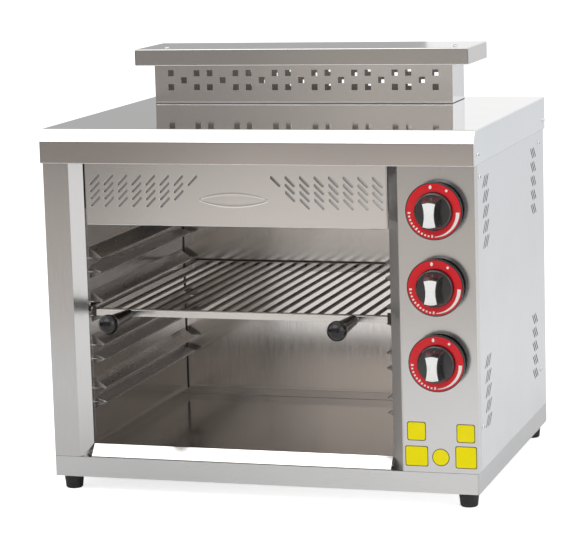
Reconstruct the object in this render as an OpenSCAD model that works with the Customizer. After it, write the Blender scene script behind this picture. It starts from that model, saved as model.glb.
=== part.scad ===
// Cheese melter: a counter-top gas salamander in folded stainless steel.
// Three overhead burners heat a cavity open at the front. A wire grid slides
// out on one of four pairs of runners, a drip tray slides out of the floor,
// and three taps stand in a column at the right.
//
// Millimetres. +Z is up and the front faces -Y. The origin is on the counter,
// under the middle of the overall box. Modules draw in cabinet coordinates,
// where y = 0 is the lid's front face, and in_place() moves them.

/* [Cabinet] */
// Width of the lid, side to side
lid_w = 600; // [560:5:680]
// Depth of the lid, front to back
lid_d = 460; // [450:5:520]
// Height of the lid's top above the counter
cabinet_h = 500; // [490:5:540]
// Sheet thickness of the outer casing
skin = 1.2; // [0.8:0.1:1.5]
// Sheet thickness of the cavity lining and the deck
liner_t = 1; // [0.8:0.1:1.5]
// Joint gap between neighbouring pieces
seam = 0.3; // [0.2:0.05:0.4]
// Height of the feet
foot_h = 20; // [12:1:40]
// Diameter of a foot at the base
foot_top_d = 27; // [24:1:34]
// Diameter of a foot at the counter
foot_bottom_d = 23.5; // [18:0.5:24]
// Distance of a foot's axis from the casing's side
foot_in_x = 18.5; // [18:0.5:40]
// Distance of a foot's axis from the casing's front or back
foot_in_y = 20; // [19:0.5:40]
// Height of the rail round the base
base_h = 28; // [24:1:34]
// Width of the seat folded in along the rail's top
base_seat = 15; // [10:1:20]

/* [Lid] */
// Height of the lid, skirt and bevel together
lid_h = 46; // [40:1:56]
// Depth of the bevel along the lid's front
bevel_d = 12; // [6:1:18]
// Height of the bevel along the lid's front
bevel_h = 16.5; // [8:0.5:22]
// How far the lid stands out over the casing, front and back
lid_over = 6; // [3:0.5:9]
// Distance of the front lid screws from the lid's front
lid_screw_front = 20; // [18:1:23]
// Distance of the rear lid screws from the lid's back
lid_screw_rear = 14; // [12:1:24]
// Drop of the side panels' upper screws below the lid's skirt
side_screw_drop = 17; // [10:1:30]
// Rise of the side panels' lower screws above the base rail
side_screw_rise = 58; // [20:1:90]

/* [Front] */
// Width of the left post's face
post_w = 36.5; // [30:0.5:50]
// Width of the control panel's face
control_w = 102.5; // [94:0.5:120]
// Width of the slanted edges beside the mouth
chamfer_w = 16; // [10:0.5:20]
// Depth of the slanted edges beside the mouth
chamfer_d = 14; // [10:0.5:18]
// Depth of the folds behind the slanted edges
mouth_fold = 8; // [6:0.5:10]
// Depth of the front pieces' folds along the casing's sides
corner_fold = 20; // [19:1:24]
// Depth of the back panel's folds along the casing's sides
rear_fold = 30; // [24:1:40]
// Width of the stepped flange that carries a side panel's edge
flange_w = 16; // [14:1:20]

/* [Upper panel] */
// Height of the panel below the lid's skirt
fascia_h = 86; // [76:1:92]
// Depth of the fold along the panel's lower edge
fascia_fold = 7; // [5:0.5:9]
// Length of a louvre slot
slot_l = 18.6; // [14:0.1:19]
// Width of a louvre slot
slot_w = 3.2; // [1.5:0.1:3.5]
// Spacing of the louvre columns
slot_pitch_x = 20; // [18:0.5:21]
// Spacing of the louvre rows
slot_pitch_z = 10; // [8:0.5:10.5]
// Columns of louvres at each side
slot_cols = 8; // [4:1:8]
// Rows of louvres in a full column
slot_rows = 4; // [3:1:4]
// Distance of the louvres from the panel's side
slot_side = 9; // [6:0.5:14]
// Distance of the louvres from the lid's skirt
slot_drop = 16.8; // [12:0.1:22]
// Width of the raised blank oval
oval_w = 98; // [70:1:100]
// Height of the raised blank oval
oval_h = 23.5; // [16:0.5:26]
// How far the oval's two long arcs would meet beyond its ends
oval_tip = 6; // [4:0.5:12]
// How far the oval stands proud
oval_t = 1; // [0.5:0.1:2]
// Distance of the oval's middle from the lid's skirt
oval_drop = 49.7; // [40:0.1:56]

/* [Side vents] */
// Length of a vent slot
vent_l = 18.5; // [14:0.5:22]
// Width of a vent slot
vent_w = 2.6; // [1.5:0.1:3.5]
// Sideways spacing of the slots of one group
vent_step = 7; // [5:0.5:9]
// Slots in one group
vent_n = 3; // [2:1:3]
// Vertical spacing of the groups
vent_pitch = 20; // [18:0.5:24]
// Groups in one stack
vent_rows = 5; // [3:1:5]
// Distance of the front stacks from the side panel's front edge
vent_front = 37; // [34:1:60]
// Distance of the rear stacks from the side panel's rear edge
vent_rear = 45; // [36:1:60]
// Height of an upper stack's top group below the lid's skirt
vent_drop = 28; // [24:1:50]
// Height of a lower stack's bottom group above the base rail
vent_rise = 58; // [36:1:80]

/* [Cavity] */
// How far the side linings stand back behind the mouth's edges
wall_recess = 5; // [3:0.5:8]
// Space between the back lining and the back panel
back_space = 24.8; // [20:0.2:32]
// How far a runner stands out of its lining
rib_reach = 21; // [18:0.5:22]
// Height of a runner where it meets the lining
rib_h = 15; // [12:0.5:17]
// Rise of a lower runner's top from its tip to the lining
rib_rise = 6; // [5:0.2:10]
// Clear height between the tips of a pair of runners
rib_gap = 19; // [17.5:0.5:22]
// Height of the lowest runner's tip above the deck
rib_first = 69; // [50:1:70]
// Vertical spacing of the pairs of runners
rib_pitch = 60.5; // [55:0.5:62]
// Distance of the runners' front ends from the mouth
rib_start = 22; // [16:1:40]
// Distance of the runners' rear ends from the back lining
rib_stop = 15; // [5:1:40]

/* [Grid] */
// Pair of runners that carries the grid, counted from 0 at the bottom
grid_level = 2; // [0:1:2]
// Space between the grid and each lining
grid_side = 12; // [10:0.5:15]
// Sideways offset of the grid, which lies loose in its runners
grid_off = 3; // [-3:0.5:3]
// Distance of the grid's front bar behind the mouth
grid_set = 3; // [2:0.5:10]
// Space between the grid and the back lining
grid_back = 7; // [4:1:20]
// Height of the grid's flat bars
bar_h = 8.5; // [7:0.5:10]
// Thickness of the grid's flat bars
bar_t = 3; // [2:0.5:4]
// Diameter of the grid's rods
rod_d = 5; // [4:0.5:6]
// Diameter of the cross rod behind the front bar
cross_d = 6; // [5:0.5:7]
// Rise of the rods' axes above the middle of the flat bars
rod_rise = 2.5; // [1:0.5:3]
// Height of the rear bar, which stops the food, above the rods' axes
stop_h = 6.5; // [3:0.5:7]
// Rods between the side bars
rod_n = 20; // [14:1:22]
// Distance of a handle's axis from the grid's side
handle_in = 44.5; // [30:0.5:80]
// Length of a handle
handle_length = 90; // [75:1:110]
// Diameter of a handle's round end
handle_end_d = 27; // [22:0.5:32]
// Diameter of a handle at the bar
handle_neck_d = 12; // [11:0.5:15]
// Diameter of a handle's stud
stud_d = 6; // [5:0.5:7]
// Length of a stud inside its handle
stud_l = 50; // [30:1:60]

/* [Drip tray] */
// Sheet thickness of the tray
tray_t = 1; // [0.8:0.1:1.5]
// Gap between the tray and the mouth's edge at each side
tray_side = 1; // [0.5:0.1:2]
// Height of the slanted lip
lip_h = 15.4; // [12:0.2:20]
// Depth of the slanted lip
lip_d = 13; // [10:0.5:16]
// Height of the walls at the sides and the back
tray_wall = 12; // [8:1:20]
// Space between the tray and the back lining
tray_back = 7; // [3:1:30]

/* [Flue] */
// How far the flue box reaches past the cavity at each side
flue_out = 7; // [0:0.5:8]
// Depth of the flue box
flue_d = 72; // [60:1:76]
// Distance of the flue box from the lid's back
flue_rear = 29; // [26:1:34]
// Sideways offset of the flue from the cavity's middle
flue_off = -4; // [-4:1:4]
// Clear height between the lid and the cap's skirt
flue_h = 57; // [50:0.5:70]
// Width of the folds along the flue box's edges
flue_fold = 10; // [8:1:12]
// How far the cap stands out all round
cap_over = 25; // [15:0.5:26]
// Sideways offset of the cap on the flue box
cap_off = 4; // [-4:0.5:4]
// Height of the cap's skirt
cap_h = 24; // [16:0.5:30]
// Side of a square hole in the flue box
hole_w = 9; // [6:0.5:10]
// Spacing of the columns of holes
hole_pitch = 20; // [16:0.5:21]
// Height between the two holes of a pair
hole_rise = 20.6; // [18:0.2:24]
// Distance of the holes' middle row below the cap's skirt
hole_drop = 23.5; // [18:0.5:30]
// Sideways shift of the back grille's holes against the front grille's
hole_shift = 5.5; // [-6:0.5:6]
// Distance of the cap's left screw from the cap's left end
cap_screw_left = 37.5; // [35:0.5:80]
// Distance of the cap's right screw from the cap's right end
cap_screw_right = 34; // [34:0.5:80]

/* [Burners] */
// Distance between a burner's end and the side lining
burner_side = 18; // [16:1:24]
// Depth of one burner, front to back
burner_d = 98; // [90:1:98]
// Spacing of the burners, front to back
burner_pitch = 105; // [101:1:106]
// Distance of the first burner's front from the mouth
burner_front = 16; // [14:1:18]
// Height of a burner's housing
burner_h = 40; // [34:1:46]
// Height of the burners above the mouth's upper edge
burner_up = 22; // [18:1:30]
// Sheet thickness of a burner's housing
burner_t = 1.5; // [1:0.1:2]
// Ceramic plaques in one burner
plaque_n = 3; // [2:1:4]
// Thickness of a ceramic plaque
plaque_t = 13; // [10:1:15]
// Gap between plaques
plaque_gap = 1; // [0.5:0.1:2]
// Width of the rails that carry the burners
rail_w = 25; // [22:1:30]
// Thickness of the rails
rail_t = 2; // [1.5:0.1:3]
// Drop of the wire screens below the housings
screen_drop = 9; // [6:1:12]
// Diameter of a screen's wire
wire_d = 2.5; // [2:0.5:3]
// Wires along one screen
wire_n = 7; // [4:1:9]
// Outer diameter of a venturi tube
venturi_d = 30; // [26:1:32]
// Wall of a venturi tube
venturi_t = 1.5; // [1:0.1:2]
// Outer diameter of a venturi tube's mouth
venturi_mouth_d = 38; // [34:1:40]
// Reach of a venturi tube into the tap side
venturi_reach = 27; // [24:1:30]

/* [Taps] */
// Distance of the top tap below the lid's skirt
knob_drop = 56.5; // [50:0.5:70]
// Sideways offset of the taps from the control panel's middle
knob_off = 1; // [-1:0.5:1]
// Spacing of the taps
knob_pitch = 100; // [85:1:105]
// Travel of a knob when it is pushed in
push = 4; // [2:0.5:4]
// Gap between a knob's skirt and the panel
knob_gap = 5; // [4.5:0.5:7]
// Diameter of a knob's skirt
skirt_d = 75.5; // [66:0.5:80]
// Height of a knob's skirt, dial included
skirt_h = 13; // [8:0.5:14]
// Thickness of a dial
dial_t = 0.8; // [0.5:0.1:1.2]
// Diameter of the raised disc on a knob
disc_d = 49.5; // [46:0.5:54]
// Height of the raised disc on a knob
disc_h = 7; // [4:0.5:9]
// Diameter across the ends of a grip
grip_d = 41; // [38:0.5:44]
// Height of a grip above its disc
grip_h = 19; // [16:0.5:26]
// Width of a grip's waist at its disc
grip_base = 20; // [18:0.5:22]
// Width of a grip's waist at its front
grip_waist = 15; // [13:0.5:16]
// Radius of the hollow in each side of a grip
waist_r = 45; // [35:1:60]
// How far the upper end of a grip slopes back
grip_slope = 6; // [6:0.5:10]
// Margin between the pointer inlay and the grip's edges
inlay_in = 1; // [0.5:0.1:2]
// Thickness of the pointer inlay
inlay_t = 0.8; // [0.5:0.1:1.2]
// Diameter of a tap's spindle
spindle_d = 8; // [7:0.5:9]
// Depth of the flat on a spindle
spindle_flat = 1.2; // [0.8:0.1:1.6]
// Radial clearance of a running fit
run_fit = 0.05; // [0.02:0.01:0.1]
// Diameter of the sliding collar round a spindle
collar_d = 16; // [15:0.5:17]
// Length of the collar
collar_l = 9; // [7:0.5:10]
// Width of a tap's body
valve_w = 28; // [26:1:30]
// Height of a tap's body
valve_h = 36; // [30:1:44]
// Depth of a tap's body behind its neck
valve_d = 26; // [24:1:28]
// Outer diameter of the supply pipe
pipe_d = 21.3; // [20:0.1:22]
// Diameter over the thread of the gas inlet
inlet_d = 20.95; // [20:0.05:21.5]
// Length of the gas inlet's thread
inlet_l = 16; // [12:1:20]
// Height of the gas inlet above the deck
inlet_up = 45; // [35:1:60]
// Diameter of a feed tube
feed_d = 8; // [6:0.5:8]
// Diameter of a thermocouple lead
lead_d = 3; // [2:0.5:3]

/* [Screws] */
// Diameter of a screw's head
screw_head_d = 7.6; // [7:0.2:9]
// Height of a screw's head
screw_head_h = 2; // [1.6:0.1:2.6]
// Diameter of a screw's shank
screw_d = 4; // [3:0.5:5]
// Length of a screw's shank
screw_l = 8; // [7:0.5:12]
// Clearance round a screw's shank
screw_fit = 0.2; // [0.1:0.05:0.4]

/* [Hidden] */
$fn = 64;

steel = "#c6c4c0";
bright = "#dcdcda";
dark_steel = "#7d7b77";
ceramic = "#e6d6b8";
brass = "#c9a558";
black = "#1d1d1f";
red = "#c8191f";
white = "#f2f2f0";

// The casing
body_x = lid_w / 2 - skin - seam;
body_front = lid_over;
body_rear = lid_d - lid_over;
base_top = foot_h + base_h;
deck_top = base_top + liner_t;
lid_skirt = cabinet_h - lid_h;
roof_z = cabinet_h - skin;
side_in = body_x - skin;
rear_in = body_rear - skin;
fold_front = body_front + corner_fold;
fold_rear = body_rear - rear_fold;
front_in = body_front + skin;

// The mouth and the cavity
mouth_l = -body_x + post_w + chamfer_w;
mouth_r = body_x - control_w - chamfer_w;
mouth_x = (mouth_l + mouth_r) / 2;
mouth_y = body_front + chamfer_d;
mouth_top = lid_skirt - fascia_h;
fold_y = mouth_y + mouth_fold;
wall_l = mouth_l - wall_recess;
wall_r = mouth_r + wall_recess;
back_y = rear_in - back_space - liner_t;

// The grid and its runners
rib_slope = rib_rise / rib_reach;
rib_space = mouth_top - deck_top - rib_first - rib_gap - rib_h;
rib_n = floor(rib_space / rib_pitch) + 1;
grid_l = wall_l + grid_side + grid_off;
grid_r = wall_r - grid_side + grid_off;
grid_y = mouth_y + grid_set;
grid_end = back_y - grid_back;
grid_seat = rib_reach - grid_side + abs(grid_off);
grid_z = tip_z(min(grid_level, rib_n - 1)) + rib_slope * grid_seat + seam;
bar_z = grid_z + bar_h / 2;
rod_z = bar_z + rod_rise;
handle_y = grid_y - seam;
stud_gap = 0.1;

// The tray
tray_l = mouth_l + tray_side;
tray_r = mouth_r - tray_side;
tray_z = deck_top + seam;
tray_end = back_y - tray_back;

// The flue
flue_x = mouth_x + flue_off;
flue_l = wall_l - flue_out + flue_off;
flue_r = wall_r + flue_out + flue_off;
flue_back = lid_d - flue_rear;
flue_front = flue_back - flue_d;
cap_top = cabinet_h + flue_h + cap_h;
cap_in = cap_top - skin;
hole_cols = floor((flue_r - flue_l - 2 * hole_w) / hole_pitch / 2) * 2 + 1;
duct_front = flue_front + skin + flue_fold;
duct_back = min(flue_back - skin - flue_fold, back_y - seam);
duct_l = flue_l + flue_fold + skin;
duct_r = flue_r - flue_fold - skin;

// The burners
burner_l = wall_l + burner_side;
burner_r = wall_r - burner_side;
burner_z = mouth_top + burner_up;
plaque_z = burner_z + burner_t;
plaque_d = burner_d - 2 * burner_t - 2 * seam;
venturi_z = burner_z + burner_h / 2 + plaque_t / 4;
venturi_r = venturi_d / 2;
venturi_end = wall_r + liner_t + venturi_reach;
injector_x = venturi_end + 6;
injector_l = 18;
screen_end = rail_w - burner_side + 7;
lead_z = burner_z - 6;

// The taps, with positions along each spindle measured from the panel's face
knob_x = body_x - control_w / 2 + knob_off;
knob_y = body_front - knob_gap;
spindle_r = spindle_d / 2;
neck_y = front_in + 2.8;
collar_y = neck_y + 1;
neck_end = collar_y + collar_l + push + 0.5;
valve_y = neck_end;
valve_back = valve_y + valve_d;
pipe_r = pipe_d / 2;
pipe_y = valve_back + 1.4 + pipe_r;
inlet_z = deck_top + inlet_up;
inlet_end = body_rear + inlet_l + 6;
spindle_in = 25;
feed_side = knob_x + valve_w / 2;
feed_y = valve_y + valve_d / 2;

// The whole, front to back
box_front = handle_y - handle_length;
shift_y = -(box_front + inlet_end) / 2;

function tip_z(i) = deck_top + rib_first + i * rib_pitch;
function knob_z(i) = lid_skirt - knob_drop - i * knob_pitch;
function burner_y(i) = mouth_y + burner_front + i * burner_pitch;
function burner_mid(i) = burner_y(i) + burner_d / 2;

// ---- helpers ------------------------------------------------------------

module in_place() translate([0, shift_y, 0]) children();

// A block given by its two limits along each axis
module block(x, y, z)
    translate([x[0], y[0], z[0]])
        cube([x[1] - x[0], y[1] - y[0], z[1] - z[0]]);

// A flat outline in x and z, as a sheet that starts at y
module sheet_y(y, t)
    translate([0, y + t, 0])
        rotate([90, 0, 0])
            linear_extrude(t) children();

// A flat outline in y and z, as a sheet that starts at x
module sheet_x(x, t)
    translate([x, 0, 0])
        rotate([90, 0, 90])
            linear_extrude(t) children();

// A flat outline in x and y, as a sheet that starts at z
module sheet_z(z, t)
    translate([0, 0, z])
        linear_extrude(t) children();

module rect(x, y)
    translate([x[0], y[0]])
        square([x[1] - x[0], y[1] - y[0]]);

module slot(l, w) {
    square([l - w, w], center = true);
    for (s = [-1, 1])
        translate([s * (l - w) / 2, 0]) circle(d = w);
}

// A round bar between two points
module bar(p, q, d) {
    v = q - p;
    l = norm(v);
    translate(p)
        rotate([0, acos(v[2] / l), atan2(v[1], v[0])])
            cylinder(h = l, d = d);
}

// A tube through a list of points, with a wider elbow at each bend
module bent_tube(path, d) {
    for (i = [1:len(path) - 1]) bar(path[i - 1], path[i], d);
    for (i = [1:len(path) - 2]) translate(path[i]) sphere(d = 1.2 * d);
}

// Puts children on an axis that points out of the front
module facing(x, y, z) translate([x, y, z]) rotate([90, 0, 0]) children();

// ---- screws -------------------------------------------------------------

// Heights of the side panels' screws, and their distances along the side
side_screw_z = [lid_skirt - side_screw_drop, base_top + side_screw_rise];
side_screw_y = [fold_front + flange_w / 2, fold_rear - flange_w / 2];
lid_screw_z = lid_skirt + 13;
lid_screw_y = [lid_screw_front, lid_d - lid_screw_rear];
cap_l = flue_l - cap_over + cap_off;
cap_r = flue_r + cap_over + cap_off;
cap_screw_x = [cap_l + cap_screw_left, cap_r - cap_screw_right];
cap_screw_y = flue_front + skin + flue_fold / 2;
screw_hole = screw_d + 2 * screw_fit;

// A pan-head screw whose head stands on z = 0
module screw() {
    translate([0, 0, -screw_l]) cylinder(h = screw_l, d = screw_d);
    intersection() {
        cylinder(h = screw_head_h, d = screw_head_d);
        translate([0, 0, screw_head_h - screw_head_d])
            sphere(r = screw_head_d);
    }
}

// Screws or their holes through the two side panels
module at_side_screws()
    for (s = [-1, 1], y = side_screw_y, z = side_screw_z)
        translate([s * body_x, y, z]) rotate([0, s * 90, 0]) children();

module at_lid_screws()
    for (s = [-1, 1], y = lid_screw_y)
        translate([s * lid_w / 2, y, lid_screw_z]) rotate([0, s * 90, 0]) children();

module at_cap_screws()
    for (x = cap_screw_x)
        translate([x, cap_screw_y, cap_top]) children();

module side_holes() {
    at_side_screws() cylinder(h = 2 * screw_l, d = screw_hole, center = true);
    at_lid_screws() cylinder(h = 2 * screw_l, d = screw_hole, center = true);
}

module cap_holes()
    at_cap_screws() cylinder(h = 2 * screw_l, d = screw_hole, center = true);

module casing_screws()
    color(bright) in_place() {
        at_side_screws() screw();
        at_lid_screws() screw();
        at_cap_screws() screw();
    }

// ---- base ---------------------------------------------------------------

module at_feet()
    for (x = [-1, 1] * (body_x - foot_in_x),
         y = [body_front + foot_in_y, body_rear - foot_in_y])
        translate([x, y, 0]) children();

bolt_d = 8;
bolt_head_d = 13;
bolt_head_h = 4;

// Floor, rail and seat of the base, folded from one sheet
module base_pan()
    color(steel) in_place() difference() {
        block([-body_x, body_x], [body_front, body_rear], [foot_h, base_top]);
        block([-side_in, side_in], [front_in, rear_in],
              [foot_h + skin, base_top - skin]);
        block([-1, 1] * (body_x - base_seat),
              [body_front + base_seat, body_rear - base_seat],
              [base_top - 2 * skin, base_top + 1]);
        at_feet() cylinder(h = 2 * foot_h + 10, d = bolt_d + 2 * screw_fit);
    }

module foot_pads()
    color(black) in_place() at_feet() difference() {
        union() {
            translate([0, 0, foot_h - 3]) cylinder(h = 3, d = foot_top_d);
            translate([0, 0, 1.5])
                cylinder(h = foot_h - 4.5, d1 = foot_bottom_d, d2 = foot_top_d);
            cylinder(h = 1.5, d1 = foot_bottom_d - 3, d2 = foot_bottom_d);
        }
        translate([0, 0, foot_h / 2]) cylinder(h = foot_h, d = bolt_d + 2 * screw_fit);
    }

// Bolts that come down through the base into the feet
module foot_bolts()
    color(bright) in_place() at_feet() {
        translate([0, 0, foot_h + skin]) cylinder(h = bolt_head_h, d = bolt_head_d, $fn = 6);
        translate([0, 0, foot_h / 2 + 1]) cylinder(h = foot_h / 2 + skin, d = bolt_d);
    }

// Deck that closes the base and carries the linings and the tray
module floor_plate()
    color(steel) in_place() {
        z = [base_top, deck_top];
        block([-1, 1] * (side_in - 2 * seam - skin), [fold_y + seam, rear_in - seam], z);
        block([mouth_l + seam, mouth_r - seam], [front_in + seam, fold_y + 1], z);
    }

// ---- casing -------------------------------------------------------------

// Stepped flange behind a side panel's edge, for the side at s = -1 or 1
module flange(s, y0, y1, z = [base_top, roof_z])
    block(s > 0 ? [side_in - seam - skin, side_in - seam]
                : [seam - side_in, skin + seam - side_in], [y0, y1], z);

// Fold along the casing's side, for the side at s = -1 or 1
module side_fold(s, y0, y1)
    block(s > 0 ? [side_in, body_x] : [-body_x, -side_in], [y0, y1],
          [base_top, roof_z]);

// Section of a front piece in x and y: face, slanted edge and the fold behind
// it. It is drawn for an edge at x = 0 with the mouth on the side of +x.
module edge_section(face) {
    rect([-face, 0], [body_front, front_in]);
    polygon([[0, body_front],
             [chamfer_w, mouth_y],
             [chamfer_w - skin, mouth_y + skin / 2],
             [-skin / 3, front_in]]);
    rect([chamfer_w - skin, chamfer_w], [mouth_y, fold_y]);
}

// Side fold and the step inward to its flange, at the side s
module corner(s) {
    side_fold(s, body_front, fold_front - seam);
    flange(s, fold_front - 2 * skin - seam, fold_front + flange_w);
    block(s > 0 ? [side_in - seam - skin, side_in]
                : [-side_in, skin + seam - side_in],
          [fold_front - 2 * skin - seam, fold_front - skin - seam],
          [base_top, roof_z]);
}

module left_post()
    color(steel) in_place() difference() {
        union() {
            sheet_z(base_top, roof_z - base_top)
                translate([-body_x + post_w, 0]) edge_section(post_w);
            corner(-1);
        }
        side_holes();
        behind_bevel();
    }

module control_panel()
    color(steel) in_place() difference() {
        union() {
            sheet_z(base_top, roof_z - base_top)
                translate([body_x - control_w, 0]) mirror([1, 0])
                    edge_section(control_w);
            corner(1);
        }
        side_holes();
        behind_bevel();
        for (i = [0:2])
            facing(knob_x, front_in + 1, knob_z(i))
                cylinder(h = skin + 2, d = 2 * spindle_d);
    }

// Keeps the top front corner of the upright pieces clear of the lid's bevel
module behind_bevel()
    sheet_x(-lid_w / 2, lid_w)
        polygon([[-lid_d, cabinet_h - bevel_h - 2 * skin],
                 [0, cabinet_h - bevel_h - 2 * skin],
                 [bevel_d + 2 * skin, cabinet_h + skin],
                 [-lid_d, cabinet_h + skin]]);

// A group of slanted slots, centred on the origin
module vent_group()
    for (i = [0:vent_n - 1])
        translate([(i - (vent_n - 1) / 2) * vent_step, 0])
            rotate(45) slot(vent_l, vent_w);

// Outline of a side panel in y and z, with its four stacks of vents
module side_outline() {
    front = fold_front;
    rear = fold_rear;
    difference() {
        rect([front, rear], [base_top, roof_z]);
        for (i = [0:vent_rows - 1],
             z = [lid_skirt - vent_drop - i * vent_pitch,
                  base_top + vent_rise + i * vent_pitch]) {
            translate([front + vent_front, z]) vent_group();
            translate([rear - vent_rear, z]) mirror([1, 0]) vent_group();
        }
    }
}

// Side panel at s = -1 or 1, with a fold under the lid that stiffens it
module side_panel(s) {
    fold = s > 0 ? [side_in - 12, side_in] : [-side_in, 12 - side_in];
    difference() {
        union() {
            sheet_x(s > 0 ? side_in : -body_x, skin) side_outline();
            block(fold, [fold_front + flange_w + 2, fold_rear - flange_w - 2],
                  [roof_z - skin, roof_z]);
        }
        side_holes();
    }
}

module left_side_panel() color(steel) in_place() side_panel(-1);
module right_side_panel() color(steel) in_place() side_panel(1);

// Back panel, folded round both rear corners
module back_panel()
    color(steel) in_place() difference() {
        union() {
            block([-body_x, body_x], [rear_in, body_rear], [base_top, roof_z]);
            for (s = [-1, 1]) {
                side_fold(s, fold_rear + seam, body_rear);
                flange(s, fold_rear - flange_w, fold_rear + 2 * skin + seam);
                block(s > 0 ? [side_in - seam - skin, side_in]
                            : [-side_in, skin + seam - side_in],
                      [fold_rear + skin + seam, fold_rear + 2 * skin + seam],
                      [base_top, roof_z]);
            }
        }
        side_holes();
        facing(knob_x, body_rear + 1, inlet_z)
            cylinder(h = skin + 2, d = inlet_d + 2);
    }

// Outline of the lid in y and z, shrunk by t for its inside
module lid_outline(t)
    polygon([[t, lid_skirt - (t > 0 ? 1 : 0)],
             [t, cabinet_h - bevel_h - t / 3],
             [bevel_d + t / 3, cabinet_h - t],
             [lid_d - t, cabinet_h - t],
             [lid_d - t, lid_skirt - (t > 0 ? 1 : 0)]]);

// Pressed lid with a bevel along its front and the flue's opening
module top_cover()
    color(bright) in_place() difference() {
        sheet_x(-lid_w / 2, lid_w) lid_outline(0);
        sheet_x(skin - lid_w / 2, lid_w - 2 * skin) lid_outline(skin);
        block([duct_l, duct_r], [duct_front, duct_back],
              [roof_z - 1, cabinet_h + 1]);
        at_lid_screws() cylinder(h = 2 * screw_l, d = screw_hole, center = true);
    }

// ---- upper panel --------------------------------------------------------

function rows_at(col) =
    col < slot_cols - 2 ? slot_rows : col == slot_cols - 2 ? slot_rows - 1 : 1;

// The left half's louvres, about the panel's middle line
module louvres() {
    reach = (slot_l - slot_w) / sqrt(2) + slot_w;
    for (col = [0:slot_cols - 1], row = [0:rows_at(col) - 1])
        translate([mouth_l - mouth_x + slot_side + reach / 2 + col * slot_pitch_x,
                   lid_skirt - slot_drop - reach / 2 - row * slot_pitch_z])
            rotate(45) slot(slot_l, slot_w);
}

// Two long arcs that meet at rounded ends
module oval() {
    tip = oval_w / 2 + oval_tip;
    long_r = (pow(tip, 2) + pow(oval_h / 2, 2)) / oval_h;
    intersection() {
        slot(oval_w, oval_h + 4);
        translate([0, oval_h / 2 - long_r]) circle(r = long_r);
        translate([0, long_r - oval_h / 2]) circle(r = long_r);
    }
}

// Louvred panel over the mouth, with a blank raised oval
module upper_panel()
    color(steel) in_place() {
        sheet_y(mouth_y, skin) difference() {
            rect([mouth_l + seam, mouth_r - seam], [mouth_top, roof_z - skin]);
            translate([mouth_x, 0]) louvres();
            translate([mouth_x, 0]) mirror([1, 0]) louvres();
        }
        sheet_y(mouth_y - oval_t, oval_t)
            translate([mouth_x, lid_skirt - oval_drop]) oval();
        block([mouth_l + seam, mouth_r - seam], [mouth_y, mouth_y + fascia_fold],
              [mouth_top, mouth_top + skin]);
    }

// ---- flue ---------------------------------------------------------------

// Square holes of one grille: pairs, with a single hole in every third column
module flue_holes(shift)
    for (i = [0:hole_cols - 1]) {
        x = flue_x + shift + (i - (hole_cols - 1) / 2) * hole_pitch;
        rises = i % 3 == 1 ? [0] : [-hole_rise / 2, hole_rise / 2];
        for (dz = rises)
            translate([x, cabinet_h + flue_h - hole_drop + dz])
                square(hole_w, center = true);
    }

// Perforated plate with folds along its foot and its top, towards `inner`
module grille(y, inner, shift) {
    sheet_y(y, skin) difference() {
        rect([flue_l, flue_r], [cabinet_h, cap_in]);
        flue_holes(shift);
    }
    fold = inner > 0 ? [y + skin, y + skin + flue_fold] : [y - flue_fold, y];
    for (z = [cabinet_h, cap_in - skin])
        block([flue_l + skin + seam, flue_r - skin - seam], fold, [z, z + skin]);
}

module flue_front_grille()
    color(steel) in_place() difference() {
        grille(flue_front, 1, 0);
        cap_holes();
    }

module flue_back_grille()
    color(steel) in_place() grille(flue_back - skin, -1, hole_shift);

// Plain plates that close the flue's ends, from grille to grille
module flue_end_plates()
    color(steel) in_place()
        for (x = [flue_l, flue_r - skin])
            block([x, x + skin], [flue_front + skin, flue_back - skin],
                  [cabinet_h, cap_in]);

module flue_cap()
    color(bright) in_place() difference() {
        block([cap_l, cap_r],
              [flue_front - cap_over, flue_back + cap_over],
              [cap_top - cap_h, cap_top]);
        block([cap_l + skin, cap_r - skin],
              [flue_front - cap_over + skin, flue_back + cap_over - skin],
              [cap_top - cap_h - 1, cap_in]);
        cap_holes();
    }

// ---- cavity lining ------------------------------------------------------

// Side lining at s = -1 or 1, with a fold that meets the mouth's edge
module side_liner(s) {
    x = s > 0 ? [wall_r, wall_r + liner_t] : [wall_l - liner_t, wall_l];
    lip = s > 0 ? [mouth_r, wall_r] : [wall_l, mouth_l];
    block(x, [fold_y, back_y], [deck_top, roof_z]);
    block(lip, [fold_y, fold_y + liner_t], [deck_top, roof_z]);
}

module left_liner() color(steel) in_place() side_liner(-1);

// The right lining lets the venturi tubes and thermocouples through
module right_liner()
    color(steel) in_place() difference() {
        side_liner(1);
        for (i = [0:2]) {
            translate([wall_r - 1, burner_mid(i), venturi_z])
                rotate([0, 90, 0]) cylinder(h = liner_t + 2, d = venturi_d + 2);
            translate([wall_r - 1, burner_mid(i), lead_z])
                rotate([0, 90, 0]) cylinder(h = liner_t + 2, d = lead_d + 1);
        }
    }

module back_liner()
    color(steel) in_place()
        block([wall_l - liner_t, wall_r + liner_t], [back_y, back_y + liner_t],
              [deck_top, roof_z]);

// One pair of runners as sections in x and z, on a lining at x = 0 that faces
// +x, with the lower tip at z = 0
module runner_pair() {
    polygon([[0, rib_rise], [rib_reach, 0], [0, rib_rise - rib_h]]);
    polygon([[0, rib_gap], [rib_reach, rib_gap], [0, rib_gap + rib_h]]);
}

// All runners of the left side, cut to a round at their front ends
module runners() {
    y0 = mouth_y + rib_start;
    y1 = back_y - rib_stop;
    intersection() {
        for (i = [0:rib_n - 1])
            translate([wall_l, 0, tip_z(i)])
                sheet_y(y0, y1 - y0) runner_pair();
        sheet_z(deck_top, mouth_top - deck_top + rib_h) {
            translate([wall_l, y0 + rib_reach]) circle(r = rib_reach);
            rect([wall_l, wall_l + rib_reach], [y0 + rib_reach, y1]);
        }
    }
}

module left_runners() color(bright) in_place() runners();

module right_runners()
    color(bright) in_place()
        translate([2 * mouth_x, 0, 0]) mirror([1, 0, 0]) runners();

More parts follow.
